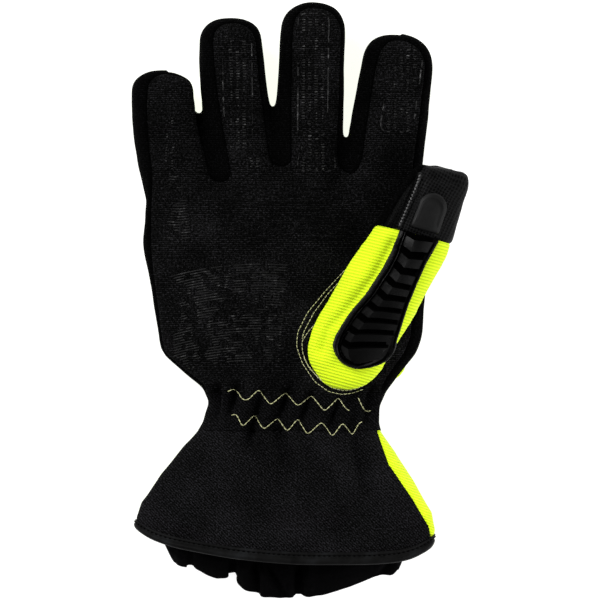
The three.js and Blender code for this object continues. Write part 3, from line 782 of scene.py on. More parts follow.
def finger_seam(name, seams):
    """Up a finger's left seam, round its tip and down its right seam."""
    tip_length, margin = FINGERS[name][5:7]
    length = finger_length(name)
    down = np.linspace(length - 14, tip_length, 14)
    tip = tip_length * (1 - np.sin(np.linspace(0.03, 0.47, 12) * math.pi))
    edges = []
    for at_tip, at_base in seams:
        edge = []
        for distance in np.concatenate([down, tip]):
            t = 1 - (distance + margin) / length
            half = through(*FINGERS[name][3], t) * tip_share(name, distance)
            edge.append(finger_centre(name, t) + finger_side(name, t) * lerp(at_base, at_tip, t) * half)
        edges.append(edge)
    return edges[0] + edges[1][::-1]


def panel_outline(seams_of, left_of, right_of):
    """A hand panel's outline: round the four fingers, down the thumb's side and up the other."""
    outline = []
    for i, name in enumerate(FINGERS):
        outline += finger_seam(name, seams_of(name))
        if i < len(WEBS):
            left, right, y = WEBS[i]
            for share, rise in ((0.0, 3.4), (0.12, 1.1), (0.5, -0.2), (0.88, 1.1), (1.0, 3.4)):
                outline.append((lerp(left, right, share), y + rise))
    rows = [row for row in PALM if row[0] < 50]
    below = WRIST_TOP_Y - 40
    outline += [(right_of(row), row[0]) for row in rows]
    outline += [(right_of(rows[-1]), below), (left_of(rows[-1]), below)]
    outline += [(left_of(row), row[0]) for row in reversed(rows)]
    return softened(evenly(outline, 1.0, closed=True), 5)


THUMB_ROWS = filled_in(THUMB, 0.7, 12)
THUMB_RUN = run_of(THUMB_ROWS[:, :3])
thumb_along = unit(np.gradient(THUMB_ROWS[:, :3], axis=0))
THUMB_SIDE = unit(thumb_along[:, [1, 0, 2]] * [1, -1, 0])
THUMB_UP = np.cross(THUMB_SIDE, thumb_along)


def thumb_tube():
    across, up = rounded(ring_angles(60, 0.5), SQUARENESS)
    sideways = THUMB_SIDE[:, None] * (across * THUMB_ROWS[:, 3:4])[:, :, None]
    upwards = THUMB_UP[:, None] * (up * THUMB_ROWS[:, 4:5])[:, :, None]
    return capped_tube(THUMB_ROWS[:, None, :3] + sideways + upwards)


def thumb_local(points):
    """Each point beside the thumb's centreline: across it, above it, along it, and the half-width and
    half-height there."""
    row, _ = nearest(points, THUMB_ROWS[:, :3])
    offset = points - THUMB_ROWS[row, :3]
    across, rise = (np.einsum("ij,ij->i", offset, axis[row]) for axis in (THUMB_SIDE, THUMB_UP))
    return across, rise, THUMB_RUN[row], THUMB_ROWS[row, 3], THUMB_ROWS[row, 4]


# Folds, each as x and y of its top, x and y of its bottom, depth, width. These are what the wrist's elastic
# pulls in on the palm side, and then a few long soft ones of the gauntlet
FRONT_FOLDS = [
    (-40.0, -40.0, -41.0, -61.0, 1.5, 2.3),
    (-30.0, -39.0, -36.0, -60.0, 1.6, 2.1),
    (-17.0, -39.0, -26.5, -76.0, 1.7, 2.4),
    (-4.0, -39.0, -11.0, -60.0, 1.5, 2.1),
    (-14.0, -54.0, -5.0, -86.0, 1.6, 3.0),
    (7.5, -41.0, -2.0, -64.0, 1.4, 2.1),
    (1.0, -60.0, 5.0, -84.0, 0.9, 2.8),
    (21.0, -45.0, 12.5, -66.0, 1.4, 2.1),
    (27.0, -44.0, 20.0, -62.0, 1.3, 1.9),
    (31.0, -46.0, 23.0, -66.0, 1.3, 1.9),
    (26.0, -60.0, 34.0, -98.0, 1.7, 3.2),
    (36.0, -40.0, 31.5, -62.0, 1.5, 2.1),
    (-30.0, -70.0, -48.0, -112.0, 0.9, 7.0),
    (-6.0, -74.0, -10.0, -116.0, 0.8, 6.0),
    (30.0, -84.0, 40.0, -118.0, 1.1, 6.5),
    (10.0, -88.0, 14.0, -120.0, 0.5, 5.0),
]
# the gathers on the underside
BACK_FOLDS = [
    (-36.0, -42.0, -40.0, -72.0, 1.6, 2.6),
    (-22.0, -44.0, -24.0, -70.0, 1.7, 2.4),
    (-6.0, -42.0, -7.0, -76.0, 1.8, 2.6),
    (9.0, -44.0, 10.0, -68.0, 1.5, 2.4),
    (24.0, -42.0, 28.0, -74.0, 1.7, 2.6),
]


def fold_depth(xy, folds):
    """How far a table of folds presses in at each place: each is a valley that fades out at its ends."""
    depth = np.zeros(len(xy))
    for x0, y0, x1, y1, deep, width in folds:
        offset, edge = xy - (x0, y0), np.array([x1 - x0, y1 - y0])
        t = np.clip(offset @ edge / (edge @ edge), 0, 1)
        away = np.linalg.norm(offset - t[:, None] * edge, axis=1)
        valley = bell(away, width) - 0.35 * bell(away - 2.1 * width, width)
        depth += deep * (1 - (2 * t - 1) ** 2) * valley
    return depth


def seam_relief(away, rise, reach, depth, width):
    """A padded panel's rise at a distance from its seams, less the valley along them."""
    return rise * smoothstep(1.0, reach, away) - depth * bell(away, width)


def gathered(points):
    """The wrist's gathers and the cuff's folds, as a push inwards at each point."""
    top = smoothstep(10.0, 20.0, points[:, 2])
    front, back = fold_depth(points[:, :2], FRONT_FOLDS), fold_depth(points[:, :2], BACK_FOLDS)
    return front * top * 3.1 + back * (1 - top) * 0.8


def gap_of(xy):
    """Which wall a place belongs to: 0 the outer side, 1 to 3 the finger gaps, 4 the thumb's side."""
    distances, right = [], []
    for name in FINGERS:
        line = np.array([finger_centre(name, t) for t in np.linspace(-0.1, 1.1, 40)])
        run_x, run_y = line[-1] - line[0]
        distances.append(line_distance(xy, line)[0])
        right.append((xy - line[0]) @ (run_y, -run_x) > 0)
    finger = np.argmin(distances, axis=0)
    gap = finger + np.array(right)[finger, np.arange(len(xy))]
    return np.where(xy[:, 1] < 56, np.where(xy[:, 0] < -8, 0, 4), gap)


def make_hand():
    """The hand without its thumb: points, triangles, the palm's and the back's faces, the palm's outline."""
    rows = filled_in([row[:4] for row in PALM] + WRIST, 1.2, 14)
    rings = []
    for y, left, right, top in rows:
        x, z = oval_ring(left, right, top, 0.0, ring_angles(120, 0.5))
        rings.append(np.stack([x, np.full(len(x), y), z], -1))
    points, triangles = fused([capped_tube(rings)] + [finger_tube(name) for name in FINGERS], HAND_VOXEL)
    points = smoothed(points, triangles, 6)
    palm_edge = panel_outline(lambda name: FINGER_SEAMS[name], lambda row: row[4], lambda row: row[5])
    back_edge = panel_outline(
        lambda name: ((-BACK_SEAM, -BACK_SEAM), (BACK_SEAM, BACK_SEAM)),
        lambda row: row[1] + BACK_INSET,
        lambda row: row[2] - (BACK_INSET if row[0] > -25 else 0.6),
    )

    def palm_field(p):
        return np.minimum(signed_distance(p[:, :2], palm_edge), (p[:, 2] - mid_height(p[:, 1])) * 0.7)

    def back_field(p):
        return np.minimum(signed_distance(p[:, :2], back_edge), (mid_height(p[:, 1]) - p[:, 2]) * 0.7)

    points, palm_value = snapped(points, triangles, palm_field)
    points, back_value = snapped(points, triangles, back_field, where=palm_value < 0)
    palm = side_of(points, triangles, palm_value, palm_field)
    back = side_of(points, triangles, back_value, back_field) & ~palm
    seam = points[on_line(palm_value) | on_line(back_value)]
    _, away = nearest(points, seam[seam[:, 1] > WRIST_TOP_Y + 3])

    push = seam_relief(away, 0.35, 6.0, 1.15, 1.0)
    push += 0.55 * cloud(points, 26.0, 1) + 0.28 * cloud(points, 9.0, 2) * smoothstep(0.5, 4.0, away)
    push += 0.3 * cloud(points * [1.0, 1.0, 0.4], 3.4, 3) * bell(away - 1.8, 1.6) - gathered(points)
    normals = normals_of(points, triangles)
    between = (gap_of(points[:, :2]) % 4 > 0) * smoothstep(62.0, 80.0, points[:, 1])
    push -= 0.75 * between * (1 - normals[:, 2] ** 2)
    heel = bell(points[:, 0] - 50, 9) * bell(points[:, 1] + 35.5, 5.5)
    push += 2.6 * heel * smoothstep(13.0, 10.0, points[:, 2])
    moved = points + normals * push[:, None]
    moved[:, 2] = np.maximum(moved[:, 2], 0.0)
    return moved, triangles, palm, back, palm_edge


def make_thumb():
    """The thumb: points, triangles, the cap's and the back's faces, and how far each point is past the cap's
    line and past the seams down its sides."""
    points, triangles = fused([thumb_tube()], THUMB_VOXEL)
    points = smoothed(points, triangles, 5)
    line_x, line_y = unit(CAP_LINE[1] - CAP_LINE[0])

    def cap_field(p):
        return (p[:, :2] - CAP_LINE[0]) @ (-line_y, line_x)

    def dorsal_field(p):
        across, rise, _, half, height = thumb_local(p)
        seam_height = height * (1 - CAP_LEFT**SQUARENESS) ** (1 / SQUARENESS)
        slope = (seam_height + 1) / (half * (1 + CAP_LEFT))
        return np.where(cap_field(p) > 1e-6, rise + slope * (across - half) + 1, rise)

    points, cap_value = snapped(points, triangles, cap_field)
    points, dorsal_value = snapped(points, triangles, dorsal_field, where=~on_line(cap_value))
    cap = side_of(points, triangles, cap_value, cap_field)
    dorsal = side_of(points, triangles, dorsal_value, dorsal_field)
    return points, triangles, cap, dorsal, cap_value, dorsal_value


hand_points, hand_triangles, palm_faces, back_faces, palm_edge = make_hand()
thumb_points, thumb_triangles, cap_faces, dorsal_faces, cap_value, dorsal_value = make_thumb()
hand_tree = surface_tree(hand_points, hand_triangles)

hand_depth = np.full(len(hand_points), -9.0)
near_thumb = hand_points[:, 2] > 12
plain_thumb_tree = surface_tree(thumb_points, thumb_triangles)
hand_depth[near_thumb] = depth_inside(plain_thumb_tree, hand_points[near_thumb])
thumb_depth = depth_inside(hand_tree, thumb_points)

face_y = hand_points[hand_triangles][:, :, 1].mean(axis=1)
hand_faces = (face_y >= WRIST_TOP_Y) & ~(hand_depth > CUT_DEPTH)[hand_triangles].all(axis=1)
wrist_faces = (face_y < WRIST_TOP_Y) & (face_y >= WRIST_END_Y)
gaps = gap_of(hand_points[hand_triangles].mean(axis=1)[:, :2])

# piece, faces, material, slot, node, fill
HAND_PIECES = [
    ("palm_knit", palm_faces & hand_faces, PALM_KNIT, "palm_knit", "palm_panel", 0.35),
    ("back_fabric", back_faces & hand_faces, HI_VIS, "hi_vis_fabric", "back_panel", 0.35),
]
WALLS = ["outer_side_wall", "fourchette_little_ring", "fourchette_ring_middle", "fourchette_middle_index"]
for wall, node in enumerate(WALLS + ["inner_side_wall"]):
    faces = ~palm_faces & ~back_faces & hand_faces & (gaps == wall)
    HAND_PIECES.append((f"{node}_knit", faces, SIDE_KNIT, "side_fabric", node, 0.35))
HAND_PIECES.append(("wrist_knit", wrist_faces, WRIST_KNIT, "palm_knit", "wrist_band", 0.3))
for name, faces, material, slot, node, fill in HAND_PIECES:
    cut_piece(name, (hand_points, hand_triangles), faces, [material], slot, node, fill)

# Thumb: seams, the long fold beside the guard, and the leather's puckered crease

THUMB_FOLD = evenly([(44.5, 27.5), (36.0, 12.0), (24.0, -3.0), (13.5, -14.5), (10.5, -24.0)], 1.0)
CAP_CREASE = np.array([(57.7, 60.6), (54.6, 52.0), (50.2, 42.0), (47.3, 35.6)])
CREASE_LINE = evenly(CAP_CREASE, 1.0)
CAP_DENT = evenly([(63.5, 59.6), (68.5, 58.4), (74.5, 57.6)], 1.0)
PUCKER_PITCH = 1.9
RIBS_TILT = math.radians(8)


def shape_thumb(points, triangles):
    """The thumb's points with their folds, and their places on the leather's map."""
    _, away = nearest(points, points[on_line(cap_value) | on_line(dorsal_value)])
    across, rise, along, _, height = thumb_local(points)
    upper = smoothstep(0.0, 5.0, rise)
    on_cap = smoothstep(0.0, 1.0, cap_value)
    fold, _ = line_distance(points[:, :2], THUMB_FOLD)
    crease, place = line_distance(points[:, :2], CREASE_LINE)
    dent, _ = line_distance(points[:, :2], CAP_DENT)
    puckers = 0.5 + 0.5 * np.sin(place * TURN / PUCKER_PITCH)
    push = seam_relief(away, 0.3, 5.0, 0.6, 0.8) + 0.3 * on_cap
    push += 0.4 * cloud(points, 18.0, 5) + 0.16 * cloud(points, 6.0, 6)
    push += 0.25 * cloud(points * [1.0, 1.0, 0.5], 2.6, 7) * bell(away - 1.6, 1.4)
    push -= upper * (1.5 * bell(fold, 2.6) - 0.6 * bell(fold - 6.0, 3.0))
    ridge = (1.0 + 0.8 * puckers) * bell(crease, 1.1) - (0.7 + 0.5 * puckers) * bell(crease - 2.2, 1.2)
    push += on_cap * upper * (ridge - 1.4 * bell(dent, 1.9))
    moved = points + normals_of(points, triangles) * push[:, None]
    wrapped = across * (1 + 0.35 * np.clip(-rise / np.maximum(height, 1), 0, 1))
    return moved, np.column_stack([wrapped, along])


thumb_shaped, thumb_uv = shape_thumb(thumb_points, thumb_triangles)
thumb_tree = surface_tree(thumb_shaped, thumb_triangles)
smooth_thumb_tree = surface_tree(smoothed(thumb_shaped, thumb_triangles, 12), thumb_triangles)
tilt_cos, tilt_sin = math.cos(RIBS_TILT), math.sin(RIBS_TILT)
ribs_uv = thumb_shaped[:, :2] @ np.array([[tilt_cos, tilt_sin], [-tilt_sin, tilt_cos]])
thumb_kept = ~(thumb_depth > CUT_DEPTH)[thumb_triangles].all(axis=1)
middle = thumb_shaped[thumb_triangles].mean(axis=1)
beyond_crease = middle[:, 0] < np.interp(middle[:, 1], CAP_CREASE[::-1, 1], CAP_CREASE[::-1, 0])
# faces along the crease's right side, on the cap's top, take the lighter leather as a painted highlight
painted_crease_highlight = ~beyond_crease & (line_distance(middle[:, :2], CREASE_LINE)[0] < 1.3) & (middle[:, 2] > 40)
cap_surfaces = beyond_crease + 2 * painted_crease_highlight
leathered, ribbed = cap_faces & dorsal_faces, ~cap_faces & dorsal_faces
# leather, darker leather past the crease, and the painted highlight beside it
LEATHERS = [LEATHER, SIDE_LEATHER, CREASE_HIGHLIGHT_LEATHER]
# piece, faces, materials, slot, node, map
THUMB_PIECES = [
    ("thumb_cap_leather", leathered, LEATHERS, "perforated_leather", "thumb_cap", thumb_uv),
    ("thumb_back_fabric", ribbed, [HI_VIS_RIBBED], "ribbed_hi_vis_fabric", "thumb_back_panel", ribs_uv),
    ("thumb_front_knit", ~dorsal_faces, [SIDE_KNIT], "side_fabric", "thumb_front_panel", thumb_uv),
]
for name, faces, materials, slot, node, uv in THUMB_PIECES:
    faces = faces & thumb_kept
    surfaces = cap_surfaces[faces] if materials is LEATHERS else None
    surface = thumb_shaped, thumb_triangles
    cut_piece(name, surface, faces, materials, slot, node, 0.35, THUMB_FABRIC, uv, surfaces)

# Guard: a raised rim round nine bevelled chevron ribs

RIB_COUNT = 9
RIB_PITCH, RIB_LENGTH, RIB_BEVEL = 7.7, 4.9, 0.35
RIB_TOP_GAP = 2.6  # from the guard's upper end to its first rib
LAST_RIB_FOOT = 0.1  # the lowest rib runs down to this share of the guard's length
KNEE = 4.3  # the ribs bend this far in from their left end
KNEE_DROP = 1.5
RIB_LEFT, RIB_RIGHT = 3.6, 2.2  # how far in from the guard's edges the ribs stop
BASE_HEIGHT, RIB_HEIGHT = 0.5, 4.1
GUARD_LIFT = 0.4
GUARD_FOOT = -1.2
FULL_WIDTH = 11.0  # where the guard is narrower than this, its rim narrows with it
ROUND_END = 0.3  # below this share of its length the rim runs round the guard's end
GUARD_ROWS, LOWER_PART = 60, 0.22  # rows along the guard, and again along this share at its lower end
BEVEL_STEPS = (-0.2, 0.0, 0.35, 1.0, 1.8)  # rows over a rib's edge, in bevels
BEFORE_KNEE, PAST_KNEE = 6, 12  # columns on either side of the ribs' knee

# distance in from the left edge and from the right edge, with the rim's height there
LEFT_RIM = [
    (0.0, GUARD_FOOT), (0.12, 1.0), (0.5, 2.3), (1.3, 3.2), (1.9, 3.3), (2.25, 3.0), (2.35, 1.0), (2.75, 0.7),
    (2.85, 1.9), (3.15, 2.0), (3.3, 0.9),
]
RIGHT_RIM = [(0.0, GUARD_FOOT), (0.12, 1.2), (0.35, 2.4), (0.85, 2.8), (1.15, 2.6), (1.25, 0.8), (2.0, 0.6)]


def guard_rows(lows, highs, bevel):
    """Where the guard's rows of points lie, in shares of its length: evenly, closer together towards its
    lower end, and closest over the ribs' bevelled edges."""
    steps = np.array(BEVEL_STEPS) * bevel
    rows = [np.linspace(0, 1, GUARD_ROWS), np.linspace(0, LOWER_PART, GUARD_ROWS)]
    for low, high in zip(lows, highs):
        rows += [low + steps, high - steps, lerp(low, high, np.linspace(0.15, 0.85, 4))]
    rows = np.unique(np.round(np.concatenate(rows), 6))
    return rows[(rows >= 0) & (rows <= 1)]


def guard_row(width):
    """A row's points, in shares of its width: over the left rim, to the ribs' knee, and to the right rim."""
    squeeze = min(1.0, width / FULL_WIDTH)
    left, right = (
        np.array([inward for inward, _ in rim] + [stop, stop + 0.15, stop + 0.4]) * squeeze
        for rim, stop in ((LEFT_RIM, RIB_LEFT), (RIGHT_RIM, RIB_RIGHT))
    )
    right = width - right[::-1]
    free = right[0] - left[-1]
    knee = left[-1] + free * min(0.5, max(0.0, (KNEE * squeeze - 0.4) / max(free, 0.1)))
    to_knee = np.linspace(left[-1], knee, BEFORE_KNEE + 1)[1:]
    past_knee = np.linspace(knee, right[0], PAST_KNEE + 2)[1:-1]
    return np.concatenate([left, to_knee, past_knee, right]) / max(width, 1e-6)


def make_guard():
    """The guard's points, triangles, and its faces' materials: 1 in the hollows, as painted shade, 2 on the
    left slope, as a painted highlight.
    """
    table = filled_in(GUARD, 0.5, 10)
    run = run_of(table[:, :2])
    length = run[-1]
    outline = np.vstack([table[:, :2], table[::-1, 2:]])
    edges = np.column_stack([run / length, table])
    bevel = RIB_BEVEL / length
    highs = 1 - (RIB_TOP_GAP + np.arange(RIB_COUNT) * RIB_PITCH) / length
    lows = highs - RIB_LENGTH / length
    lows[-1] = LAST_RIB_FOOT
    rows = guard_rows(lows, highs, bevel)

    left_x, left_y, right_x, right_y = row_at(edges, rows)
    spans = np.column_stack([right_x - left_x, right_y - left_y])
    widths = np.array([[np.linalg.norm(span)] for span in spans])
    across = np.array([guard_row(width) for width in widths[:, 0]])
    columns = across.shape[1]
    column = np.arange(columns)
    left_end = len(LEFT_RIM) + 2
    knee_column = left_end + BEFORE_KNEE
    right_end = knee_column + PAST_KNEE + 1
    bend = np.interp(column, [0, left_end, knee_column, right_end, columns - 1], [0, 0, 1, 0, 0])
    reach = np.interp(rows, [0.0, 0.1, 0.2, 0.93, 1.0], [0.0, 0.3, 1.0, 1.0, 0.6])
    bent = np.clip(rows[:, None] - bend * reach[:, None] * KNEE_DROP / length, 0.0, 1.0)
    left_x, left_y, right_x, right_y = row_at(edges, bent)
    flat = np.stack([lerp(left_x, right_x, across), lerp(left_y, right_y, across)], -1).reshape(-1, 2)

    inward = np.maximum(signed_distance(flat, outline), 0).reshape(across.shape)
    lower_end = rows[:, None] < ROUND_END
    left_reach, right_reach = (
        np.where(lower_end, np.minimum(inward, straight), straight)
        for straight in (across * widths, (1 - across) * widths)
    )
    x = flat[:, 0].reshape(across.shape)
    blend = np.where(lower_end, smoothstep(24.0, 38.0, x), smoothstep(0.35, 0.65, across))
    rim = lerp(np.interp(left_reach, *zip(*LEFT_RIM)), np.interp(right_reach, *zip(*RIGHT_RIM)), blend)
    past_rim = (left_reach >= LEFT_RIM[-1][0]) & (right_reach >= RIGHT_RIM[-1][0])
    rim = np.where(past_rim, BASE_HEIGHT, rim)
    rib = np.zeros(len(rows))
    for low, high in zip(lows, highs):
        rib = np.maximum(rib, np.interp(rows, [low, low + bevel, high - bevel, high], [0, 1, 1, 0]))
    tops = [RIB_HEIGHT - 1.9, RIB_HEIGHT, RIB_HEIGHT - 0.9]
    top = np.maximum(np.interp(column, [left_end, knee_column, right_end], tops), rim)
    inside = smoothstep(RIB_LEFT - 0.05, RIB_LEFT + 0.15, left_reach)
    inside *= smoothstep(RIB_RIGHT - 0.05, RIB_RIGHT + 0.15, right_reach)
    end = np.where(lower_end, smoothstep(RIB_LEFT - 0.3, RIB_LEFT + 0.1, inward), 1.0)
    height = rim + (top - rim) * rib[:, None] * inside * end
    height[-1] = GUARD_FOOT

    ground, normal = dropped(smooth_thumb_tree, flat)
    points = ground + normal * (height.reshape(-1, 1) + GUARD_LIFT)
    triangles = grid_triangles(len(rows), columns, False)
    highest, lowest = height.ravel()[triangles].max(axis=1), height.ravel()[triangles].min(axis=1)
    # faces low between the ribs take the near-black rubber as painted shade
    hollow_painted_shade = (highest < 2.0) & past_rim.ravel()[triangles].all(axis=1)
    # faces on the rim's left slope take the lighter rubber as a painted highlight
    slope = (left_reach.ravel()[triangles].max(axis=1) < 1.4) & (lowest > -0.5)
    slope &= across.ravel()[triangles].mean(axis=1) < 0.5
    return points, triangles, hollow_painted_shade + 2 * slope


guard_points, guard_triangles, guard_surfaces = make_guard()
# plain rubber, painted shade in the hollows, painted highlight on the rim's left slope
RUBBERS = [RUBBER, PAINTED_SHADE_RUBBER, PAINTED_HIGHLIGHT_RIM_RUBBER]
piece_of(
    "guard_rubber", guard_points, guard_triangles, RUBBERS, "guard_rubber", ["thumb_guard"],
    surfaces=guard_surfaces, crease=24,
)

# Nail pad: an arched tab with a groove round it and a hollowed top

PAD_ARCH_CENTRE, PAD_RADIUS = (64.0, 44.9), 6.7
PAD_FOOT = [(53.3, 35.6), (66.6, 32.0)]
PAD_LIFT = 0.9
PAD_UP = (0.2236, 0.78)  # from the pad's foot to its arch, seen from above
PAD_HOLLOW = 0.45
# how far in from the edge, and the height there
PAD_PROFILE = [
    (0.0, -1.2), (0.05, 0.3), (0.3, 0.9), (0.7, 1.25), (1.3, 1.4), (1.5, 1.25), (1.7, 1.4), (3.0, 1.55),
    (4.4, 1.5),
]


def make_nail_pad():
    angles = np.linspace(-0.35, 2.99, 24)
    arch = PAD_ARCH_CENTRE + PAD_RADIUS * np.stack([np.cos(angles), np.sin(angles)], -1)
    outline = softened(evenly(np.vstack([PAD_FOOT, arch]), 0.5, closed=True), 4)
    centre = outline.mean(axis=0)
    scales = [1 - inward / PAD_RADIUS for inward, _ in PAD_PROFILE]
    scales += [scales[-1] * share for share in (0.6, 0.3, 0.05)]
    flat = np.vstack([centre + (outline - centre) * scale for scale in scales])
    heights = [height for _, height in PAD_PROFILE] + [PAD_PROFILE[-1][1]] * 3
    height = np.repeat(heights, len(outline))
    upper = smoothstep(39.0, 45.0, flat @ PAD_UP)
    height -= np.where(height > 1.35, PAD_HOLLOW * upper, 0)
    ground, normal = dropped(smooth_thumb_tree, flat)
    points = ground + normal * (height[:, None] + PAD_LIFT)
    return points, grid_triangles(len(scales), len(outline), True)


piece_of("nail_pad_rubber", *make_nail_pad(), [PAD_RUBBER], "guard_rubber", ["thumb_nail_pad"])

# Cuff: a gathered gauntlet, its bound hem and the liner's end

CUFF_COLUMNS, CUFF_ROWS = 400, 110
CUFF_TOP_Y = WRIST_END_Y - GAP
CUFF_LENGTH = CUFF_TOP_Y - HEM_LOW_Y


def hem_y(x):
    away = np.abs(x - HEM_LOW_X)
    left = HEM_LEFT_RISE * away**2.2 + HEM_CORNER_RISE * np.maximum(away - 82.0, 0.0) ** 2
    return HEM_LOW_Y + np.where(x < HEM_LOW_X, left, HEM_RIGHT_RISE * away**4.4)


def cuff_points(share, offset, columns=CUFF_COLUMNS):
    """A ring of the cuff at a share of the way from the wrist to the hem, moved out by an offset."""
    x, z = oval_ring(*row_at(CUFF, share), ring_angles(columns), offset)
    return np.stack([x, lerp(CUFF_TOP_Y, hem_y(x), share), z], -1)


def make_cuff():
    """The cuff's points, triangles and front faces, with its top edge turned in."""
    tucked = [(-0.03, -1.2), (-0.018, -0.45), (-0.008, -0.08)]
    plain = [(share, 0.0) for share in np.linspace(-0.002, 0.978, CUFF_ROWS)]
    rings = softened(np.array([cuff_points(*row) for row in tucked + plain]), 6, closed=False)
    points = rings.reshape(-1, 3)
    triangles = facing_out(points, grid_triangles(len(rings), CUFF_COLUMNS, True))
    seam_x, seam_y = np.array(CUFF_SEAM).T

    def front_field(p):
        return np.minimum(np.interp(-p[:, 1], -seam_y, seam_x) - p[:, 0], p[:, 2] - CUFF_MID_Z)

    points, value = snapped(points, triangles, front_field)
    front = side_of(points, triangles, value, front_field)
    _, away = nearest(points, points[on_line(value)])
    loose = smoothstep(5.0, 14.0, points[:, 1] - hem_y(points[:, 0]))
    push = loose * (0.5 * cloud(points, 24.0, 11) + 0.12 * cloud(points, 7.0, 12)) - 0.15 * (1 - loose)
    push -= 0.6 * bell(away, 0.9) + gathered(points)
    moved = points + normals_of(points, triangles) * push[:, None]
    moved[:, 2] = np.maximum(moved[:, 2], np.minimum(points[:, 2], 0.2))
    return moved, triangles, front


cuff_shape, cuff_triangles, cuff_front = make_cuff()
for name, faces, material, slot, node in [
    ("cuff_front_twill", cuff_front, TWILL, "cuff_twill", "cuff_front_panel"),
    ("cuff_back_fabric", ~cuff_front, HI_VIS, "hi_vis_fabric", "cuff_back_panel"),
]:
    cut_piece(name, (cuff_shape, cuff_triangles), faces, [material], slot, node, 0.3)

# how far up from the hem, and how far out from the cuff: the flat margin, the stitched groove, the roll
# over the edge, and the fold inside
BINDING = [
    (6.1, -0.4), (6.1, 0.35), (6.0, 0.8), (5.7, 1.0), (5.1, 1.02), (4.75, 0.95), (4.5, 0.55), (4.25, 0.95),
    (3.9, 1.05), (3.7, 1.0), (3.55, 1.15), (3.2, 1.75), (2.6, 2.2), (1.9, 2.4), (1.2, 2.3), (0.6, 1.9),
    (0.15, 1.1), (0.0, 0.2), (0.1, -0.8), (0.5, -1.8), (1.2, -2.4), (2.4, -2.6), (4.0, -2.6), (5.5, -2.5),
    (5.9, -2.3),
]
MARGIN_ROW = 4  # the binding's row along which its map is measured


def make_binding():
    """The binding's points and triangles, and their places on the tape's map."""
    angle = ring_angles(CUFF_COLUMNS)
    flush = 1 - 0.4 * np.abs(rounded(angle, PALM_SQUARENESS)[0]) ** 8
    rings = [cuff_points(1 - up / CUFF_LENGTH, out * flush if out > 0 else out) for up, out in BINDING]
    rings = np.array(rings)
    wander = [noise.noise(Vector((math.cos(a) * 4, math.sin(a) * 4, 0.5))) for a in angle]
    rings[:, :, 1] += 0.25 * np.array(wander)
    rings[:, :, 2] = np.maximum(rings[:, :, 2], 0.0)
    points = rings.reshape(-1, 3)
    margin = rings[MARGIN_ROW]
    run = run_of(np.vstack([margin, margin[:1]]))[1:]
    uv = np.column_stack([np.tile(run, len(rings)), np.repeat([up for up, _ in BINDING], CUFF_COLUMNS)])
    return points, facing_out(points, grid_triangles(len(rings), CUFF_COLUMNS, True)), uv


tape_points, tape_triangles, tape_uv = make_binding()
piece_of("hem_tape", tape_points, tape_triangles, [TAPE], "binding_tape", ["hem_binding"], 0.2, uv=tape_uv)

# share of the way along, left side, right side, underside, top
LINER = [
    (0.0, -61.6, 45.8, 2.8, 25.0),
    (0.25, -63.8, 49.0, 3.4, 29.4),
    (0.6, -68.4, 53.0, 3.6, 34.2),
    (0.8, -68.6, 52.8, 3.8, 33.0),
    (0.9, -66.6, 51.0, 4.2, 29.0),
    (1.0, -61.8, 47.6, 4.6, 23.0),
]
LINER_START_Y = -92.0
LINER_ROWS, LINER_COLUMNS = 90, 420
LINER_THICKNESS = 0.9
RUFFLES, RUFFLE_DEPTH = 11, 1.5  # round the liner's underside
# the liner's lowest edge where it shows below the hem: x, y
LINER_EDGE = [
    (-69.0, -117.0), (-66.5, -121.5), (-63.8, -126.4), (-59.0, -129.6), (-55.4, -131.2), (-53.6, -129.6),
    (-51.0, -130.8), (-45.0, -134.4), (-40.7, -136.2), (-35.8, -135.7), (-34.0, -134.2), (-33.2, -132.6),
    (-31.8, -136.4), (-27.0, -141.0), (-19.2, -144.9), (-12.0, -145.3), (-4.6, -145.4), (-1.4, -145.2),
    (-0.4, -144.2), (1.0, -144.8), (11.0, -144.2), (24.6, -140.0), (36.8, -135.1), (41.2, -134.3),
    (44.6, -134.6), (47.4, -132.4), (50.4, -127.0), (56.0, -116.0),
]
# x and y of the top, of the bottom, depth, width
LINER_FOLDS = [
    (-0.9, -112.0, -0.6, -158.0, 8.5, 2.4),
    (-22.4, -112.0, -21.4, -150.0, 6.5, 2.0),
    (-21.0, -122.0, -3.0, -150.0, 4.2, 1.5),
    (-33.0, -112.0, -32.6, -146.0, 2.8, 1.6),
    (-54.0, -110.0, -54.6, -140.0, 3.2, 2.0),
    (-10.5, -124.0, -9.6, -133.0, -1.8, 5.0),
    (20.0, -124.0, 24.0, -140.0, -1.6, 9.0),
    (47.0, -126.0, 38.0, -135.0, 3.0, 1.6),
    (-44.0, -124.0, -44.0, -136.0, -1.6, 5.0),
]


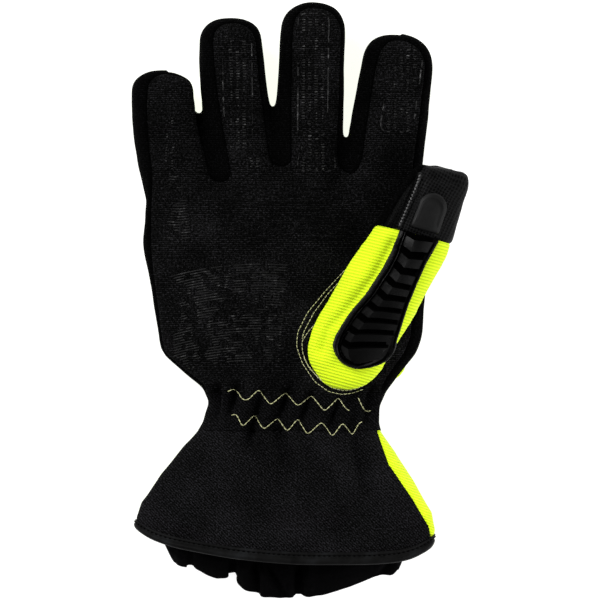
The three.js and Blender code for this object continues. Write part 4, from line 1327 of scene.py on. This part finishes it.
def make_liner():
    angle = ring_angles(LINER_COLUMNS)
    across, up = rounded(angle, PALM_SQUARENESS)
    shares = np.linspace(0, 1, LINER_ROWS)
    edge = filled_in(LINER_EDGE, 0.7, 2)
    rings = []
    for share in shares:
        left, right, bottom, top = row_at(LINER, share)
        x = (left + right) / 2 + across * (right - left) / 2
        end = np.interp(x, edge[:, 0], edge[:, 1])
        end = np.where(up < 0, np.maximum(end, -143.0) + 1.6, end)
        z = (top + bottom) / 2 + up * (top - bottom) / 2
        rings.append(np.stack([x, lerp(LINER_START_Y, end, share), z], -1))
    points = softened(np.array(rings), 5, closed=False).reshape(-1, 3)
    triangles = facing_out(points, grid_triangles(LINER_ROWS, LINER_COLUMNS, True))
    shown = np.repeat(smoothstep(0.45, 0.8, shares), LINER_COLUMNS)
    upper = np.tile(smoothstep(-0.2, 0.3, up), LINER_ROWS)
    ruffle = RUFFLE_DEPTH * np.tile(np.cos(angle * RUFFLES), LINER_ROWS) * (1 - upper)
    crumple = 0.9 * cloud(points, 11.0, 21) + 0.3 * cloud(points, 4.0, 22)
    push = shown * (ruffle + crumple - fold_depth(points[:, :2], LINER_FOLDS) * upper)
    moved = points + normals_of(points, triangles) * [1, 0.2, 1] * push[:, None]
    moved[:, 2] = np.maximum(moved[:, 2], 0.6)
    return moved, triangles


liner = piece_of(
    "liner_cloth", *make_liner(), [LINING, LINING], "liner_fabric", ["cuff_liner"], thickness=LINER_THICKNESS
)

# Stitches: each a short thread that dips into the cloth at both ends

THREAD_SIDES = 6
# share of a stitch's length, thickness there, rise in thicknesses
STITCH_SHAPE = [
    (0.0, 0.25, -0.35), (0.12, 0.85, 0.0), (0.5, 1.0, 0.12), (0.88, 0.85, 0.0), (1.0, 0.25, -0.35),
]


def thread_ring(centre, side, over, radius):
    angle = ring_angles(THREAD_SIDES)[:, None]
    return centre + (side * np.cos(angle) + over * np.sin(angle)) * radius


def thread_runs(paths, tree, stitch, gap, radius, lift):
    """Points and triangles of stitches along paths seen from above, laid on a surface."""
    parts = []
    for path in paths:
        run = run_of(path)
        for start in np.arange(0.0, run[-1] - 0.8, stitch):
            reach = min(stitch, run[-1] - start) - gap
            places = [start + share * reach for share, _, _ in STITCH_SHAPE]
            flat = np.stack([np.interp(places, run, column) for column in path.T], -1)
            ground, normal = dropped(tree, flat)
            side = unit(np.cross(normal, unit(np.gradient(ground, axis=0))))
            rings = []
            for k, (_, thick, rise) in enumerate(STITCH_SHAPE):
                centre = ground[k] + normal[k] * (lift + rise * radius * 2)
                rings.append(thread_ring(centre, side[k], normal[k], radius * thick))
            parts.append(capped_tube(rings))
    return joined(parts)


# zigzag turns: x, y
UPPER_ZIGZAG = [
    (-35.3, -44.6), (-32.4, -43.0), (-29.6, -45.6), (-28.0, -48.6), (-25.4, -48.8), (-20.2, -43.4),
    (-14.4, -51.2), (-7.1, -44.8), (-1.2, -51.7), (5.6, -46.3), (11.9, -54.3), (18.8, -47.3),
    (22.6, -53.6), (24.4, -54.0),
]
UPPER_ZIGZAG_END = [(28.4, -47.6), (30.6, -52.8), (32.4, -54.8), (34.6, -54.0)]
LOWER_ZIGZAG = [
    (-33.4, -56.4), (-31.0, -55.4), (-28.0, -61.8), (-22.2, -55.8), (-17.8, -63.1), (-10.9, -57.4),
    (-6.1, -64.1), (-1.2, -57.6), (3.7, -65.6), (10.6, -59.3), (15.8, -66.6), (20.7, -59.8),
    (25.5, -66.1), (29.2, -59.4), (31.0, -59.3),
]
# the thumb's sewing on the palm: x, y
THUMB_STITCHES = [
    [
        (21.7, 14.4), (11.4, 3.2), (3.7, -6.1), (-1.2, -15.8), (-1.7, -22.6), (1.2, -30.9), (7.1, -39.7),
        (13.9, -44.6), (20.0, -46.0), (25.6, -45.4), (31.0, -43.4),
    ],
    [(22.6, 12.6), (13.6, 3.0), (6.6, -6.4), (1.8, -15.6), (1.0, -19.2)],
    [
        (10.6, -8.4), (4.6, -14.6), (0.9, -20.0), (1.2, -25.4), (3.4, -31.2), (8.8, -38.0), (15.4, -42.8),
        (21.0, -44.2), (26.6, -43.6), (31.6, -41.4),
    ],
    [(1.9, -28.0), (4.6, -33.4), (9.8, -38.4), (15.6, -41.9), (21.6, -43.0), (27.4, -42.2)],
]
ZIGZAG_THREAD = (2.3, 0.1, 0.25, 0.12)  # stitch length, gap, radius, lift
THUMB_THREAD = (2.0, 0.3, 0.19, 0.05)
CREASE_THREAD = (1.9, 0.5, 0.42, 0.15)
HEM_THREAD_RADIUS, HEM_GROOVE = 0.42, 4.5

wrist_and_cuff = surface_tree(*joined([(hand_points, hand_triangles), (cuff_shape, cuff_triangles)]))
upper, upper_end, lower = (filled_in(line, 0.6, 6) for line in (UPPER_ZIGZAG, UPPER_ZIGZAG_END, LOWER_ZIGZAG))
pale_threads = [
    thread_runs([upper, upper_end], hand_tree, *ZIGZAG_THREAD),
    thread_runs([filled_in(path, 0.6, 6) for path in THUMB_STITCHES], hand_tree, *THUMB_THREAD),
    thread_runs([lower], wrist_and_cuff, *ZIGZAG_THREAD),
]
piece_of("pale_stitches", *joined(pale_threads), [PALE_THREAD], "stitch_thread")
# grey stitches in a zigzag along the crease: partly its real stitching, partly painted highlights along the
# puckered ridge
crease_path = evenly(CAP_CREASE, 0.95)
crease_path[::2, 0] += 0.5
crease_threads = thread_runs([crease_path], thumb_tree, *CREASE_THREAD)
piece_of("crease_stitches", *crease_threads, [GREY_THREAD], "stitch_thread")


def hem_stitches():
    """Black stitches round the binding's groove, except where it lies on the surface."""
    line = evenly(cuff_points(1 - HEM_GROOVE / CUFF_LENGTH, 0.8, 1600), 0.35, closed=True)
    parts = []
    per_stitch, per_gap = 5, 2
    thick = HEM_THREAD_RADIUS * np.array([0.4, 1, 1, 1, 0.4])
    for start in range(0, len(line) - per_stitch - per_gap, per_stitch + per_gap):
        run = line[start : start + per_stitch]
        tangent = unit(np.gradient(run, axis=0))
        side = unit(np.cross(tangent, [0.0, 1.0, 0.0]))
        over = np.cross(side, tangent)
        if run[:, 2].min() > 1.0:
            parts.append(capped_tube([thread_ring(*row) for row in zip(run, side, over, thick)]))
    return joined(parts)


piece_of("hem_stitches", *hem_stitches(), [BLACK_THREAD], "stitch_thread")

# Printed grip: rows of fine raised bars on the palm and fingers, with thin borders

BAR_PITCH = 1.3
BAR_SIZE = (0.6, 0.28)  # width, rise
BORDER_SIZE = (0.7, 0.25)
FINGERS_FROM_Y = 62
COLUMN_PITCH = 3.2  # on the fingers the bars are broken into columns

# low y, high y, left end at low and high, right end at low and high, slant, bow
GRIP_FIELDS = [
    (64.0, 103.0, -66.0, -64.5, -59.5, -60.0, 0.0, 0.0),
    (30.5, 61.5, -65.0, -64.0, -53.0, -57.0, 0.0, 0.4),
    (76.5, 126.5, -34.2, -36.5, -24.6, -25.8, 0.0, 0.0),
    (65.5, 71.0, -26.4, -26.0, -18.0, -18.4, 0.0, 0.4),
    (82.0, 137.5, 0.6, 1.0, 11.4, 12.2, 0.0, 0.0),
    (64.5, 77.0, 0.4, 3.4, 15.6, 12.4, 0.0, 0.6),
    (84.0, 120.0, 40.6, 46.6, 53.0, 58.4, -0.6, 0.0),
    (30.5, 56.0, -41.0, -38.0, 31.5, 24.0, -0.4, 1.2),
    (-32.5, 15.0, -61.5, -62.0, -10.0, -6.0, 2.6, -2.4),
]
# low y, high y, left at low and high, right at low and high, corner radius
GRIP_BORDERS = [
    (74.5, 128.6, -36.6, -38.4, -22.8, -23.6, 4.5),
    (80.0, 139.6, -1.2, -0.8, 13.2, 14.2, 4.5),
    (82.0, 122.0, 38.6, 45.4, 55.0, 60.4, 5.0),
    (63.0, 78.6, -2.4, 2.0, 18.4, 14.2, 5.0),
]


def strip(path, width, rise):
    """A thin raised line laid on the palm along a path seen from above."""
    path = evenly(path, 0.8)
    ground, normal = dropped(hand_tree, path)
    side = unit(np.cross(normal, np.gradient(ground, axis=0)))
    taper = np.ones((len(path), 1))
    taper[[0, -1]] = 0.35
    rows = []
    for share, lift in ((-0.5, -0.1), (-0.25, taper), (0.25, taper), (0.5, -0.1)):
        rows.append(ground + side * share * width * taper + normal * rise * lift)
    return np.stack(rows, axis=1).reshape(-1, 3), grid_triangles(len(path), 4, False)


def bars(low, high, left_low, left_high, right_low, right_high, slant, bow):
    """Paths of even bars between two heights."""
    paths = []
    for y in np.arange(low, high, BAR_PITCH):
        share = (y - low) / (high - low)
        left, right = lerp(left_low, left_high, share), lerp(right_low, right_high, share)
        x = np.linspace(left, right, max(3, int((right - left) / 1.5)))
        t = np.linspace(-1, 1, len(x))
        paths.append(np.stack([x, y + slant * t + bow * (t * t - 1)], -1))
    return paths


def border(low, high, left_low, left_high, right_low, right_high, radius):
    """A closed path round four corners."""
    corners = np.array([(left_low, low), (right_low, low), (right_high, high), (left_high, high)])
    line = []
    for corner, before, after in zip(corners, np.roll(corners, 1, axis=0), np.roll(corners, -1, axis=0)):
        start, end = (corner + unit(other - corner) * radius for other in (before, after))
        line += [(1 - t) ** 2 * start + 2 * t * (1 - t) * corner + t * t * end for t in np.linspace(0, 1, 7)]
    return np.array(line + line[:1])


grip_parts = [strip(path, *BAR_SIZE) for row in GRIP_FIELDS for path in bars(*row)]
grip_parts += [strip(border(*row), *BORDER_SIZE) for row in GRIP_BORDERS]
grip_points, grip_triangles = joined(grip_parts)
worn_off = depth_inside(thumb_tree, grip_points) > -0.3
worn_off |= signed_distance(grip_points[:, :2], palm_edge) < 1.6
worn_off |= cloud(grip_points, 3.2, 31) + 0.5 * cloud(grip_points, 14.0, 32) < -0.1
between_columns = np.cos(grip_points[:, 0] * TURN / COLUMN_PITCH) > 0.55
worn_off |= (grip_points[:, 1] > FINGERS_FROM_Y) & between_columns
kept = ~worn_off[grip_triangles].any(axis=1)
grip_points, grip_triangles, _ = part_of(grip_points, grip_triangles, kept)
grip_x, grip_y, _ = grip_points[grip_triangles].mean(axis=1).T
on_palm = grip_y < FINGERS_FROM_Y
grip_surfaces = on_palm.astype(int) + (on_palm & (grip_y > 20) & (grip_x > -48))
SILICONES = [SILICONE, WORN_SILICONE, DULL_SILICONE]
piece_of("grip_print", grip_points, grip_triangles, SILICONES, "grip_silicone", surfaces=grip_surfaces)

# Surface, camera and light

PHOTO_WIDTH = 0.2922
CAMERA_HEIGHT = 3.0
GLOVE_HEIGHT = 0.03  # the height at which the photograph's scale holds
SENSOR = 36.0
FLOOR_REACH, FLOOR_Z = 6.0, -0.0006

floor_mesh = bpy.data.meshes.new("surface")
floor_corners = [(x * FLOOR_REACH, y * FLOOR_REACH, FLOOR_Z) for x, y in ((-1, -1), (1, -1), (1, 1), (-1, 1))]
floor_mesh.from_pydata(floor_corners, [], [(0, 1, 2, 3)])
floor_shade = Shade("pale_surface", 0.8, 0.1)
floor_shade.shader["Base Color"].default_value = (0.35, 0.35, 0.35, 1)
floor_shade.shader["Emission Color"].default_value = (1, 1, 1, 1)
floor_shade.shader["Emission Strength"].default_value = 0.88
floor_mesh.materials.append(floor_shade.material)
added("surface", floor_mesh)

camera_data = bpy.data.cameras.new("camera")
camera_data.sensor_width = SENSOR
camera_data.lens = SENSOR * (CAMERA_HEIGHT - GLOVE_HEIGHT) / PHOTO_WIDTH
camera_data.clip_end = 20.0
camera = added("camera", camera_data)
camera.location = (0.0, 0.0, CAMERA_HEIGHT)
bpy.context.scene.camera = camera

for name, place, size, power in [
    ("key_light", (-0.9, 0.9, 1.3), 0.8, 32.0),
    ("fill_light", (1.1, -0.3, 1.0), 1.0, 14.0),
]:
    lamp = bpy.data.lights.new(name, "AREA")
    lamp.size = size
    lamp.energy = power
    holder = added(name, lamp)
    holder.location = place
    holder.rotation_euler = (-Vector(place)).to_track_quat("-Z", "Y").to_euler()

world = bpy.data.worlds.new("studio")
world.use_nodes = True
sky_tree = world.node_tree
sky_height = new_node(sky_tree, "SeparateXYZ", {0: new_node(sky_tree, "TexCoord", {})["Generated"]})["Z"]
sky_colour = new_ramp(sky_tree, sky_height, [(0.4, 1.0), (0.88, 0.08)])
sky_tree.links.new(sky_colour, sky_tree.nodes["Background"].inputs["Color"])
bpy.context.scene.world = world
bpy.context.scene.view_settings.view_transform = "Standard"
